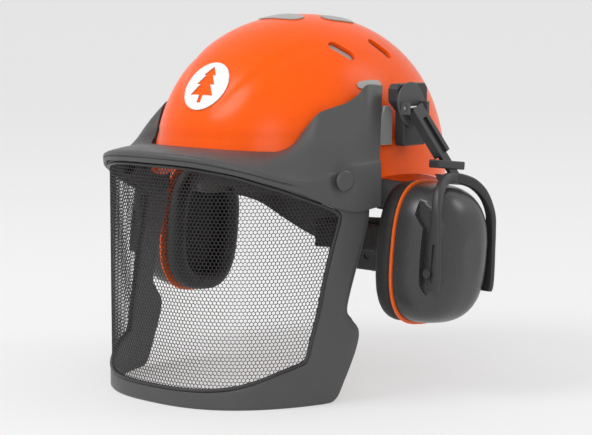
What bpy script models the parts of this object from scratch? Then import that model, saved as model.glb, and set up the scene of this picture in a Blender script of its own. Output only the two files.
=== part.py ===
"""Forestry helmet: shell, inner harness, mesh visor and two ear muffs, one solid per real piece.

Values are in millimetres and each mesh is written in metres. Z is up, the wearer looks along -Y, and X is
the wearer's left. The origin is where the head sits: the middle of the shell, level with its brow edge.
"""

import math

import bmesh
import bpy
import numpy as np

MM = 0.001

# Shell
SHELL_HALF = (104.0, 134.5)
SHELL_HEIGHT = 145.5
SHELL_BACK = -4.5
SHELL_WALL = 2.6
DOME_POWER, DOME_ROUND, PLAN_ROUND = 2.5, 2.05, 2.15
RIM = [
    (0, 27), (25, 25), (45, 17), (58, 12), (70, 15), (84, 19), (100, 18), (116, 12), (132, 5), (150, -2), (180, -6),
]

# Visor
VISOR_HALF = (118.6, 208.0)
VISOR_BACK = 28.0
VISOR_ROUND = 2.6
VISOR_THICK = 3.0
VISOR_PIVOT = (-25.0, 59.0)
FLOOR = -152.0
PEAK_WALL = 2.6

# Ear muffs
CUP_CENTRE = (130.0, -3.5, -41.0)
CUP_LEAN = math.radians(6.5)
CUP_HALF = (40.0, 56.0)
CUP_DEPTH = 47.0
CUP_ROUND = 2.8
ARM_TOP = (126.5, -14.0, 72.0)
ARM_END = (144.5, 5.0, 29.0)

GAP = 0.35

ORANGE = (0.95, 0.16, 0.015)
GREY = (0.075, 0.075, 0.078)
LIGHT_GREY = (0.16, 0.16, 0.162)
DARK = (0.02, 0.02, 0.022)
PALE = (0.5, 0.51, 0.5)
WHITE = (0.85, 0.85, 0.85)

for old in list(bpy.data.objects):
    bpy.data.objects.remove(old, do_unlink=True)


# ---------------------------------------------------------------- helpers


def make(name, verts, faces, colour=None, bevel=0.0, segments=2, mirror=1):
    """A closed mesh in metres. mirror=-1 puts it on the wearer's right."""
    mesh = bpy.data.meshes.new(name)
    points = np.asarray(verts, float).reshape(-1, 3) * MM
    points[:, 0] *= mirror
    mesh.from_pydata(points.tolist(), [], [list(map(int, f)) for f in faces])
    form = bmesh.new()
    form.from_mesh(mesh)
    bmesh.ops.remove_doubles(form, verts=form.verts, dist=2e-6)
    bmesh.ops.recalc_face_normals(form, faces=form.faces)
    form.to_mesh(mesh)
    form.free()
    obj = bpy.data.objects.new(name, mesh)
    bpy.context.scene.collection.objects.link(obj)
    if colour is not None:
        material = bpy.data.materials.new(name)
        material.use_nodes = True
        shader = material.node_tree.nodes["Principled BSDF"]
        shader.inputs["Base Color"].default_value = (*colour, 1)
        shader.inputs["Roughness"].default_value = 0.45
        mesh.materials.append(material)
    if bevel:
        edge = obj.modifiers.new("edge", "BEVEL")
        edge.width = bevel * MM
        edge.segments = segments
        edge.limit_method = "ANGLE"
        edge.angle_limit = math.radians(40)
    return obj


def cutter(obj):
    obj.hide_render = True
    obj.display_type = "WIRE"
    return obj


def boolean(obj, other, operation="DIFFERENCE"):
    step = obj.modifiers.new("boolean", "BOOLEAN")
    step.operation = operation
    step.solver = "EXACT"
    step.object = cutter(other)
    return obj


def spline(x, knots):
    """Smooth curve through (x, value) knots; value may be a number or a point."""
    xs = np.array([k[0] for k in knots], float)
    ys = np.array([np.atleast_1d(k[1]) for k in knots], float)
    slopes = np.gradient(ys, xs, axis=0)
    x = np.atleast_1d(np.asarray(x, float))
    i = np.clip(np.searchsorted(xs, x) - 1, 0, len(xs) - 2)
    h = xs[i + 1] - xs[i]
    t = np.clip((x - xs[i]) / h, 0, 1)[:, None]
    h = h[:, None]
    out = (
        (2 * t**3 - 3 * t**2 + 1) * ys[i]
        + (t**3 - 2 * t**2 + t) * h * slopes[i]
        + (-2 * t**3 + 3 * t**2) * ys[i + 1]
        + (t**3 - t**2) * h * slopes[i + 1]
    )
    return out[:, 0] if out.shape[1] == 1 else out


def slab(name, outer, inner, colour=None, wrap=False, **more):
    """The closed body between two grids of the same shape. wrap joins the last row to the first."""
    rows, columns = outer.shape[:2]
    verts = np.concatenate([outer.reshape(-1, 3), inner.reshape(-1, 3)])
    top = rows * columns
    faces = []
    last = rows if wrap else rows - 1
    for i in range(last):
        k = (i + 1) % rows
        for j in range(columns - 1):
            a, b, c, d = i * columns + j, k * columns + j, k * columns + j + 1, i * columns + j + 1
            faces += [(a, b, c, d), (top + d, top + c, top + b, top + a)]
        for j in (0, columns - 1):
            a, b = i * columns + j, k * columns + j
            faces.append((a, b, top + b, top + a))
    if not wrap:
        for i in (0, rows - 1):
            for j in range(columns - 1):
                a, b = i * columns + j, i * columns + j + 1
                faces.append((a, b, top + b, top + a))
    return make(name, verts, faces, colour, **more)


def loft(name, sections, colour=None, closed=False, **more):
    """Closed sections of equal count joined in order, with flat ends unless the loft closes on itself."""
    sections = [np.asarray(s, float) for s in sections]
    n = len(sections[0])
    verts = np.concatenate(sections)
    faces = []
    count = len(sections)
    for i in range(count if closed else count - 1):
        k = (i + 1) % count
        faces += [(i * n + j, i * n + (j + 1) % n, k * n + (j + 1) % n, k * n + j) for j in range(n)]
    if not closed:
        faces += [tuple(range(n)), tuple((count - 1) * n + j for j in range(n))]
    return make(name, verts, faces, colour, **more)


def axes_of(direction):
    d = np.asarray(direction, float)
    d = d / np.linalg.norm(d)
    side = np.cross(d, (0, 0, 1)) if abs(d[2]) < 0.9 else np.cross(d, (0, 1, 0))
    side /= np.linalg.norm(side)
    return d, side, np.cross(d, side)


def turned(name, base, direction, profile, colour=None, count=28, **more):
    """A profile of (radius, height) turned about an axis through base."""
    d, u, v = axes_of(direction)
    angle = np.linspace(0, 2 * math.pi, count, endpoint=False)
    rings = [
        np.asarray(base) + d * h + r * (np.outer(np.cos(angle), u) + np.outer(np.sin(angle), v)) for r, h in profile
    ]
    return loft(name, rings, colour, **more)


def block(name, low, high, colour=None, **more):
    (x0, y0, z0), (x1, y1, z1) = low, high
    base = [(x0, y0), (x1, y0), (x1, y1), (x0, y1)]
    return loft(name, [[(x, y, z) for x, y in base] for z in (z0, z1)], colour, **more)


def rounded(half_a, half_b, power=2.0, count=40):
    """A superellipse outline as (a, b) pairs."""
    t = np.linspace(0, 2 * math.pi, count, endpoint=False)
    c, s = np.cos(t), np.sin(t)
    k = (np.abs(c) ** power + np.abs(s) ** power) ** (-1 / power)
    return np.stack([half_a * c * k, half_b * s * k], 1)


def capsule(length, width, count=20):
    """A slot outline, long along its first axis."""
    half = count // 2
    a = np.linspace(-math.pi / 2, math.pi / 2, half)
    r = width / 2
    x = length / 2 - r
    ends = [np.stack([x + r * np.cos(a), r * np.sin(a)], 1), np.stack([-x - r * np.cos(a), -r * np.sin(a)], 1)]
    return np.concatenate(ends)


def prism(name, outline, origin, ax, ay, low, high, colour=None, **more):
    """An outline extruded along ax x ay from low to high."""
    ax, ay = np.asarray(ax, float), np.asarray(ay, float)
    n = np.cross(ax, ay)
    flat = np.asarray(origin) + np.outer(outline[:, 0], ax) + np.outer(outline[:, 1], ay)
    return loft(name, [flat + n * low, flat + n * high], colour, **more)


def normals(grid, wrap=False):
    """Unit normals of a grid of points."""
    if wrap:
        du = np.roll(grid, -1, 0) - np.roll(grid, 1, 0)
    else:
        du = np.gradient(grid, axis=0)
    n = np.cross(du, np.gradient(grid, axis=1))
    return n / np.maximum(np.linalg.norm(n, axis=2, keepdims=True), 1e-9)


# ---------------------------------------------------------------- shell


def shell_round(z, grow=0.0):
    """How much of the plan is left at height z, from 1 at the rim to 0 at the crown."""
    t = np.clip(np.asarray(z, float) / (SHELL_HEIGHT + grow), 0, 1)
    return (1 - t**DOME_POWER) ** (1 / DOME_ROUND)


def shell_side(y, z, grow=0.0):
    """Half width of the outside of the shell at (y, z)."""
    part = np.abs((np.asarray(y, float) - SHELL_BACK) / (SHELL_HALF[1] + grow)) ** PLAN_ROUND
    return (SHELL_HALF[0] + grow) * np.maximum(shell_round(z, grow) ** PLAN_ROUND - part, 0) ** (1 / PLAN_ROUND)


def shell_front(x, z, grow=0.0):
    """Y of the front of the shell at (x, z)."""
    part = np.abs(np.asarray(x, float) / (SHELL_HALF[0] + grow)) ** PLAN_ROUND
    reach = np.maximum(shell_round(z, grow) ** PLAN_ROUND - part, 0) ** (1 / PLAN_ROUND)
    return SHELL_BACK - (SHELL_HALF[1] + grow) * reach


def plan(angle, grow=0.0):
    """Unit plan of the shell: angle 0 is the front, 90 degrees the wearer's left."""
    s, c = np.sin(angle), -np.cos(angle)
    k = (np.abs(s) ** PLAN_ROUND + np.abs(c) ** PLAN_ROUND) ** (-1 / PLAN_ROUND)
    return (SHELL_HALF[0] + grow) * s * k, (SHELL_HALF[1] + grow) * c * k


def shell_grid(rows, columns, grow=0.0, rim_drop=0.0, flare=1.8, top=0.985):
    angle = np.linspace(0, 2 * math.pi, rows, endpoint=False)
    degrees = np.degrees(angle)
    rim = spline(np.where(degrees > 180, 360 - degrees, degrees), RIM) - rim_drop
    x, y = plan(angle, grow)
    grid = []
    for w in np.linspace(0, top, columns):
        z = rim * (1 - w) ** 3 + (SHELL_HEIGHT + grow) * np.sin(w * math.pi / 2) ** (2 / DOME_POWER)
        scale = shell_round(z, grow)
        swell = 1 + flare * np.exp(-(((z - rim) / 5.0) ** 2)) / 110
        grid.append(np.stack([x * scale * swell, y * scale * swell + SHELL_BACK, z], 1))
    return np.stack(grid, 1)


def capped(name, outer, inner, outer_top, inner_top, colour=None, **more):
    """A bowl: wrapped grids whose last columns close on one crown point each."""
    rows, columns = outer.shape[:2]
    top = rows * columns
    verts = np.concatenate([outer.reshape(-1, 3), inner.reshape(-1, 3), [outer_top], [inner_top]])
    faces = []
    for i in range(rows):
        k = (i + 1) % rows
        for j in range(columns - 1):
            a, b, c, d = i * columns + j, k * columns + j, k * columns + j + 1, i * columns + j + 1
            faces += [(a, b, c, d), (top + d, top + c, top + b, top + a)]
        a, b = i * columns, k * columns
        faces.append((a, b, top + b, top + a))
        a, b = i * columns + columns - 1, k * columns + columns - 1
        faces += [(a, b, 2 * top), (top + b, top + a, 2 * top + 1)]
    return make(name, verts, faces, colour, **more)


def on_shell(point, direction, grow=0.0):
    """Where the line from point along direction meets the shell."""
    p, d = np.asarray(point, float), np.asarray(direction, float)

    def inside(t):
        q = p + d * t
        z = max(q[2], 0)
        if z >= SHELL_HEIGHT + grow:
            return False
        return abs(q[0]) < shell_side(q[1], z, grow) if shell_side(q[1], z, grow) > 0 else False

    out, into = 0.0, 40.0
    for _ in range(40):
        middle = (out + into) / 2
        if inside(middle):
            into = middle
        else:
            out = middle
    return p + d * into


def shell_normal(p):
    e = 0.3

    def level(q):
        return (
            (abs(q[0]) / SHELL_HALF[0]) ** PLAN_ROUND
            + (abs(q[1] - SHELL_BACK) / SHELL_HALF[1]) ** PLAN_ROUND
            - shell_round(q[2]) ** PLAN_ROUND
        )

    g = np.array([level(p + np.eye(3)[i] * e) - level(p - np.eye(3)[i] * e) for i in range(3)])
    return g / np.linalg.norm(g)


outer = shell_grid(56, 14)
inner = shell_grid(56, 14, grow=-SHELL_WALL)
shell = capped(
    "shell",
    outer,
    inner,
    (0, SHELL_BACK, SHELL_HEIGHT),
    (0, SHELL_BACK, SHELL_HEIGHT - SHELL_WALL),
    ORANGE,
)


def patch(name, centre, long_way, outline, low, high, colour, mirror=1):
    """A thin piece lying on the shell: an outline round a point, from low to high above the surface."""
    base = on_shell(np.asarray(centre, float) * 1.15, -np.asarray(centre, float) / np.linalg.norm(centre))
    n = shell_normal(base)
    ax = np.asarray(long_way, float)
    ax = ax - n * (ax @ n)
    ax /= np.linalg.norm(ax)
    ay = np.cross(n, ax)
    rings = []
    for level in (low, high):
        layer = []
        for share in (1.0, 0.66, 0.33):
            ring = []
            for a, b in outline * share:
                start = base + ax * a + ay * b + n * 20
                q = on_shell(start, -n)
                ring.append(q + shell_normal(q) * level)
            layer.append(ring)
        rings.append(layer + [[base + n * level]])
    m = len(outline)
    verts, faces = [], []
    for layer in rings:
        start = len(verts)
        for ring in layer[:3]:
            verts += ring
        verts.append(layer[3][0])
        for s in range(2):
            faces += [
                (
                    start + s * m + j,
                    start + s * m + (j + 1) % m,
                    start + (s + 1) * m + (j + 1) % m,
                    start + (s + 1) * m + j,
                )
                for j in range(m)
            ]
        faces += [(start + 2 * m + j, start + 2 * m + (j + 1) % m, start + 3 * m) for j in range(m)]
    up = 3 * m + 1
    faces += [(j, (j + 1) % m, up + (j + 1) % m, up + j) for j in range(m)]
    return make(name, verts, faces, colour, mirror=mirror)


def vent_frame(centre, long_way):
    base = on_shell(np.asarray(centre, float) * 1.15, -np.asarray(centre, float) / np.linalg.norm(centre))
    n = shell_normal(base)
    ax = np.asarray(long_way, float)
    ax = ax - n * (ax @ n)
    ax /= np.linalg.norm(ax)
    return base, ax, np.cross(n, ax), n


VENTS = {
    "front": ((65.0, -30.0, 116.0), (15.0, 13.0, -11.0)),
    "rear": ((65.5, 17.0, 117.5), (11.0, 12.0, -12.0)),
}
for side, sign in (("left", 1), ("right", -1)):
    for place, (centre, long_way) in VENTS.items():
        base, ax, ay, n = vent_frame(centre, long_way)
        hole = prism(f"cut_vent_{place}_{side}", capsule(24, 10), base, ax, ay, -9, 9, mirror=sign)
        boolean(shell, hole)
        floor = prism(f"vent_insert_{place}_{side}", capsule(23, 9), base, ax, ay, -6.6, -1.2, PALE, mirror=sign)
        flange = prism(f"cut_flange_{place}_{side}", capsule(27, 13), base, ax, ay, -6.4, -4.6, mirror=sign)
        boolean(floor, flange, "UNION")

patch("front_mark", (0, -114, 88), (1, 0, 0), rounded(23, 25, 2.4, 28), 0.3, 1.1, WHITE)
patch("reflector_front", (0, -29, 138), (1, 0, 0), rounded(21, 10, 3.2, 28), 0.3, 1.0, PALE)
for side, sign in (("left", 1), ("right", -1)):
    crown_shape, side_shape = rounded(16, 7, 3.2, 24), rounded(13, 3.5, 3.2, 24)
    patch(f"reflector_crown_{side}", (27, 8, 139), (0.15, 1, 0), crown_shape, 0.3, 1.0, PALE, mirror=sign)
    patch(f"reflector_side_{side}", (88, -22, 92), (0, 1, 0), side_shape, 0.3, 1.0, PALE, mirror=sign)


# ---------------------------------------------------------------- visor surface


def visor_point(theta, z, grow=0.0):
    """A point of the visor's curved sheet: theta in degrees from the front, z up."""
    t = np.radians(np.asarray(theta, float))
    s, c = np.sin(t), np.cos(t)
    k = (np.abs(s) ** VISOR_ROUND + np.abs(c) ** VISOR_ROUND) ** (-1 / VISOR_ROUND)
    x = (VISOR_HALF[0] + grow) * s * k
    y = VISOR_BACK - (VISOR_HALF[1] + grow) * c * k
    return np.stack([x, y, np.broadcast_to(np.asarray(z, float), x.shape)], -1)


# Half outlines from the top middle to the bottom middle, as (theta, z).
OPENING = [
    (0, 33.4), (7, 33.4), (14, 33.0), (21, 31.8), (28, 29.3), (34, 26.3), (40, 21.3), (46, 15.5),
    (52, 8.0), (58, 0.0),
    (60.2, -5), (60.3, -12), (58.4, -34), (56.6, -58), (55.2, -80), (53.4, -102), (52.6, -113), (51.4, -118.6),
    (48.8, -121.8), (45.2, -125.4), (41.5, -129.5), (37, -133.5), (31.5, -136.6), (23, -138.6),
    (12, -139.2), (0, -139.3),
]
OUTLINE = [
    (0, 37), (7, 37), (14, 36.6), (21, 35.3), (28, 32.8), (34, 29.8), (40, 24.8), (46, 19), (52, 14), (56, 22),
    (60, 27.0), (64, 26.5), (67, 17), (68, -9), (65, -44), (62.2, -78), (63.4, -88), (65.3, -98),
    (64.6, -112), (61.6, -135), (59.3, -149), (56, FLOOR), (46, FLOOR), (36, FLOOR), (18, FLOOR), (0, FLOOR),
]


def loop(half):
    """A closed loop of (theta, z) from a half outline, with a station added midway along each step."""
    index = np.arange(0, len(half) - 0.5, 0.5)
    half = [tuple(p) for p in spline(index, [(i, p) for i, p in enumerate(half)])]
    return np.array(half + [(-a, b) for a, b in half[-2:0:-1]])


def shrunk(points, by):
    """The closed loop moved inwards by a distance in mm, measured on the sheet."""
    flat = np.stack([np.radians(points[:, 0]) * 165.0, points[:, 1]], 1)
    ahead, behind = np.roll(flat, -1, 0), np.roll(flat, 1, 0)
    along = ahead - behind
    along /= np.linalg.norm(along, axis=1, keepdims=True)
    inward = np.stack([along[:, 1], -along[:, 0]], 1)
    middle = flat.mean(0)
    if ((middle - flat) * inward).sum() < 0:
        inward = -inward
    moved = flat + inward * by
    return np.stack([np.degrees(moved[:, 0] / 165.0), moved[:, 1]], 1)


opening, outline = loop(OPENING), loop(OUTLINE)
outline[:, 1] = np.maximum(outline[:, 1], FLOOR)


def sheet_ring(name, first, second, low, high, colour, columns=3):
    """A border piece of the visor between two loops, from low to high off the sheet."""
    shares = np.linspace(0, 1, columns)
    flat = np.stack([first * (1 - s) + second * s for s in shares], 1)
    return slab(
        name,
        visor_point(flat[..., 0], flat[..., 1], high),
        visor_point(flat[..., 0], flat[..., 1], low),
        colour,
        wrap=True,
    )


visor_frame = sheet_ring("visor_frame", opening, outline, -VISOR_THICK, 0.0, GREY)
sheet_ring("mesh_bead", shrunk(opening, GAP), shrunk(opening, 3.0), -0.9, 0.4, DARK, columns=2)

# The wire sheet, behind the bead: columns follow the slanting sides.
side_theta = [
    (-145.0, 50.6), (-120.5, 51.2), (-102.0, 53.4), (-58.0, 56.6), (-12.0, 60.3), (0.0, 60.4), (40.0, 60.4),
]
top_line = np.array(OPENING[:10], float)
bottom_line = np.array(OPENING[16:], float)[::-1]
across, down = 41, 5
wire = []
for s in np.linspace(-1, 1, across):
    top_z = np.interp(abs(s) * 58.9, *top_line.T) - (1.4 if abs(s) < 0.97 else 3.6)
    low_z = np.interp(abs(s) * 50.2, *bottom_line.T) + 1.4
    column = []
    for t in np.linspace(0, 1, down):
        z = top_z * (1 - t) + low_z * t
        column.append((s * (spline(z, side_theta)[0] - 1.1), z))
    wire.append(column)
wire = np.array(wire)
slab(
    "mesh_screen",
    visor_point(wire[..., 0], wire[..., 1], -1.6),
    visor_point(wire[..., 0], wire[..., 1], -2.3),
    DARK,
)


# ---------------------------------------------------------------- peak and wings

LIP_LOW = [
    (0, 34.3), (12, 34.1), (22.6, 32.6), (30, 29.7), (37.5, 24.8), (44, 18.8), (50, 12.4), (58.4, 0.3), (63, -4.0),
    (70.5, -2.0),
]
LIP_HIGH = [(0, 8), (38, 8), (46, 9), (52, 13), (57, 24), (62, 35), (70.5, 36)]
# Edge next to the shell: (theta of the station, (x, y or None for "just off the shell", z)).
EDGE = [
    (0, (0, None, 43.5)), (8, (15, None, 43.5)), (15, (29, None, 43.2)), (24, (46, None, 42.6)),
    (33, (61, None, 42.0)), (40, (71, None, 42.5)), (45.5, (76.5, -99.0, 48.0)), (50, (81.0, -91.0, 59.0)),
    (54, (86.0, -81.0, 70.5)), (58, (90.0, -69.0, 74.5)), (62, (93.5, -55.0, 78.5)), (65, (95.5, -44.5, 84.5)),
    (67.5, (96.8, -36.5, 91.0)), (70.5, (98.8, -19.5, 90.0)),
]
SHELL_CLEAR = 3.5
edge_knots = []
for theta, (x, y, z) in EDGE:
    y = float(shell_front(x, z, SHELL_CLEAR)) if y is None else y
    edge_knots.append((theta, np.array([x, y, z])))

stations = np.array([0, 6, 12, 18, 24, 30, 35, 40, 43, 46, 48.5, 51, 53, 55, 57.5, 60, 62.5, 65, 66.5, 68.5, 70.5])
right_half = []
for theta in stations:
    low = spline(theta, LIP_LOW)[0]
    high = low + spline(theta, LIP_HIGH)[0]
    edge = spline(theta, edge_knots)
    edge = edge.reshape(3)
    lip = [
        visor_point(theta, low, 3.2),
        visor_point(theta, low * 0.5 + high * 0.5, 3.6),
        visor_point(theta, high - 1.6, 3.2),
        visor_point(theta, high + 0.4, 1.2),
    ]
    inward = edge - lip[3]
    swell = 1.5 if theta < 42 else 3.5
    up = np.array([inward[0], inward[1], 0.0])
    bulge = np.cross(np.cross(inward, (0, 0, 1)), inward)
    bulge = bulge / max(np.linalg.norm(bulge), 1e-9)
    if bulge[2] < 0:
        bulge = -bulge
    top = [lip[3] + inward * s + bulge * swell * math.sin(math.pi * s) for s in (0.25, 0.5, 0.75, 1.0)]
    right_half.append(lip + top)
right_half = np.array(right_half)
mirrored = right_half[:0:-1] * np.array([-1, 1, 1])
carrier = np.concatenate([mirrored, right_half])
facing = normals(carrier)
if facing[len(carrier) // 2, 1, 1] > 0:
    facing = -facing
visor_carrier = slab("visor_carrier", carrier, carrier - facing * PEAK_WALL, GREY)

# Rivet heads that hold the mesh frame in the carrier, and the latch hinge on each side.
PY, PZ = VISOR_PIVOT
for side, sign in (("left", 1), ("right", -1)):
    spot = visor_point(60.6, 20.5, 3.4)
    ahead = visor_point(61.2, 20.5, 3.4) - visor_point(60.0, 20.5, 3.4)
    n = np.cross(ahead, (0, 0, 1))
    n /= np.linalg.norm(n)
    n = n if n[0] > 0 else -n
    hole = turned(f"cut_rivet_{side}", spot - n * 12, n, [(3.4, 0), (3.4, 20)], mirror=sign)
    boolean(visor_carrier, hole)
    boolean(visor_frame, hole)
    turned(
        f"snap_button_{side}",
        spot,
        n,
        [(5.6, -8.4), (5.6, -7.2), (3.0, -7.0), (3.0, 0.9), (8.0, 0.9), (8.0, 2.0), (6.6, 3.0)],
        GREY,
        mirror=sign,
    )
    # Pivot boss fixed to the shell, with its pin.
    base_x = float(shell_side(PY, PZ)) + 2.0
    turned(
        f"visor_pivot_{side}",
        (base_x, PY, PZ),
        (1, 0, 0),
        [(6.5, 0), (6.5, 101.7 - base_x), (3.0, 101.7 - base_x), (3.0, 105.4 - base_x)],
        DARK,
        mirror=sign,
    )
    # Latch panel at the rear of each wing, which turns on the pin.
    panel = prism(
        f"visor_clip_{side}",
        np.array([(-42, 44), (-18, 44), (-18, 71), (-21, 74.5), (-27.5, 74.5)]),
        (0, 0, 0),
        (0, 1, 0),
        (0, 0, 1),
        102.4,
        107.8,
        LIGHT_GREY,
        bevel=0.8,
        mirror=sign,
    )
    bore = turned(f"cut_pin_{side}", (90, PY, PZ), (1, 0, 0), [(3.35, 0), (3.35, 15.8)], mirror=sign)
    boolean(panel, bore)
    # Clear the panel from the wing by a fixed seam.
    half = carrier[len(carrier) // 2 :]
    wing_outer = half[-7:] + facing[-7:] * 1.0
    wing_inner = half[-7:] - facing[-7:] * (PEAK_WALL + 1.0)
    tail_outer = wing_outer[-1] + (wing_outer[-1] - wing_outer[-2]) * 0.12
    tail_inner = wing_inner[-1] + (wing_inner[-1] - wing_inner[-2]) * 0.12
    wing_outer = np.concatenate([wing_outer, tail_outer[None]])
    wing_inner = np.concatenate([wing_inner, tail_inner[None]])
    seam = slab(f"cut_seam_{side}", wing_outer, wing_inner, mirror=sign)
    boolean(panel, seam)


# ---------------------------------------------------------------- muff adapters on the shell

for side, sign in (("left", 1), ("right", -1)):
    body = prism(
        f"adapter_{side}",
        np.array([(-17, 43), (9, 43), (12, 47), (12, 88), (9, 92), (-23, 92), (-26, 88), (-26, 78), (-17, 70)]),
        (0, 0, 0),
        (0, 1, 0),
        (0, 0, 1),
        109.2,
        119.0,
        DARK,
        mirror=sign,
        bevel=1.2,
    )
    foot = block(f"cut_foot_{side}", (93.0, -0.5, 45.0), (112.0, 11.5, 55.5), mirror=sign)
    boolean(body, foot, "UNION")
    slot = block(f"cut_slot_{side}", (84.0, -1.0, 44.5), (112.0, 12.0, 56.0), mirror=sign)
    boolean(shell, slot)


# ---------------------------------------------------------------- ear muffs

LEAN = np.array(
    [
        [1, 0, 0],
        [0, math.cos(CUP_LEAN), math.sin(CUP_LEAN)],
        [0, -math.sin(CUP_LEAN), math.cos(CUP_LEAN)],
    ]
)


def cup_space(points):
    """Points given as (out from the ring, rearward, up) round the cup, in the row frame."""
    return np.asarray(points, float) @ LEAN.T + np.array(CUP_CENTRE)


def cup_ring(half_u, half_v, out, power=CUP_ROUND, count=36):
    shape = rounded(half_u, half_v, power, count)
    return cup_space(np.column_stack([np.full(count, out), shape]))


def dome(half, depth, levels, start=0.0, count=36, power=CUP_ROUND):
    rings = []
    for w in levels:
        left = (1 - w**power) ** (1 / power)
        rings.append(cup_ring(half[0] * left, half[1] * left, start + depth * w, count=count))
    return rings


down = np.array(ARM_END) - np.array(ARM_TOP)
arm_length = float(np.linalg.norm(down))
down /= arm_length
arm_wide = np.array([0.0, 1.0, 0.0]) - down * down[1]
arm_wide /= np.linalg.norm(arm_wide)
arm_out = np.cross(arm_wide, down)
arm_out = arm_out if arm_out[0] > 0 else -arm_out


def arm_box(name, start, end, wide, low, high, colour=None, **more):
    """A bar along the arm from start to end mm, half width wide, from low to high outwards."""
    sections = []
    for along in (start, end):
        middle = np.array(ARM_TOP) + down * along
        sections.append(
            [middle + arm_wide * a + arm_out * b for a, b in ((-wide, low), (wide, low), (wide, high), (-wide, high))]
        )
    return loft(name, sections, colour, **more)


def bar(name, path, colour=None, count=16, power=4.0, **more):
    """A bar through (centre, half size in w, half size in u) stations given in cup space."""
    centres = np.array([p[0] for p in path], float)
    along = np.gradient(centres, axis=0)
    sections = []
    for (centre, half_w, half_u), d in zip(path, along, strict=True):
        d = d / np.linalg.norm(d)
        wide = np.array([1.0, 0, 0]) - d * d[0]
        wide /= np.linalg.norm(wide)
        deep = np.cross(d, wide)
        shape = rounded(half_w, half_u, power, count)
        local = np.asarray(centre) + np.outer(shape[:, 0], wide) + np.outer(shape[:, 1], deep)
        sections.append(cup_space(local))
    return loft(name, sections, colour, **more)


FRONT_LEG = [
    ((21.5, 2, 60), 3.0, 4.2), ((23.5, -8, 59.8), 3.0, 4.2), ((27.5, -19.5, 56.5), 3.0, 4.2),
    ((31.5, -29.3, 48), 3.2, 3.8),
    ((34.8, -35.0, 34), 3.8, 2.8), ((35.6, -35.4, 20), 4.8, 2.5), ((36, -35.2, 6), 5.4, 2.4),
    ((37, -34.8, -10), 5.6, 2.4), ((37.2, -34.6, -22), 5.6, 2.4), ((37.2, -34.6, -27), 4.4, 2.2),
]
PIVOT = (37.0, -14.0)

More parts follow.
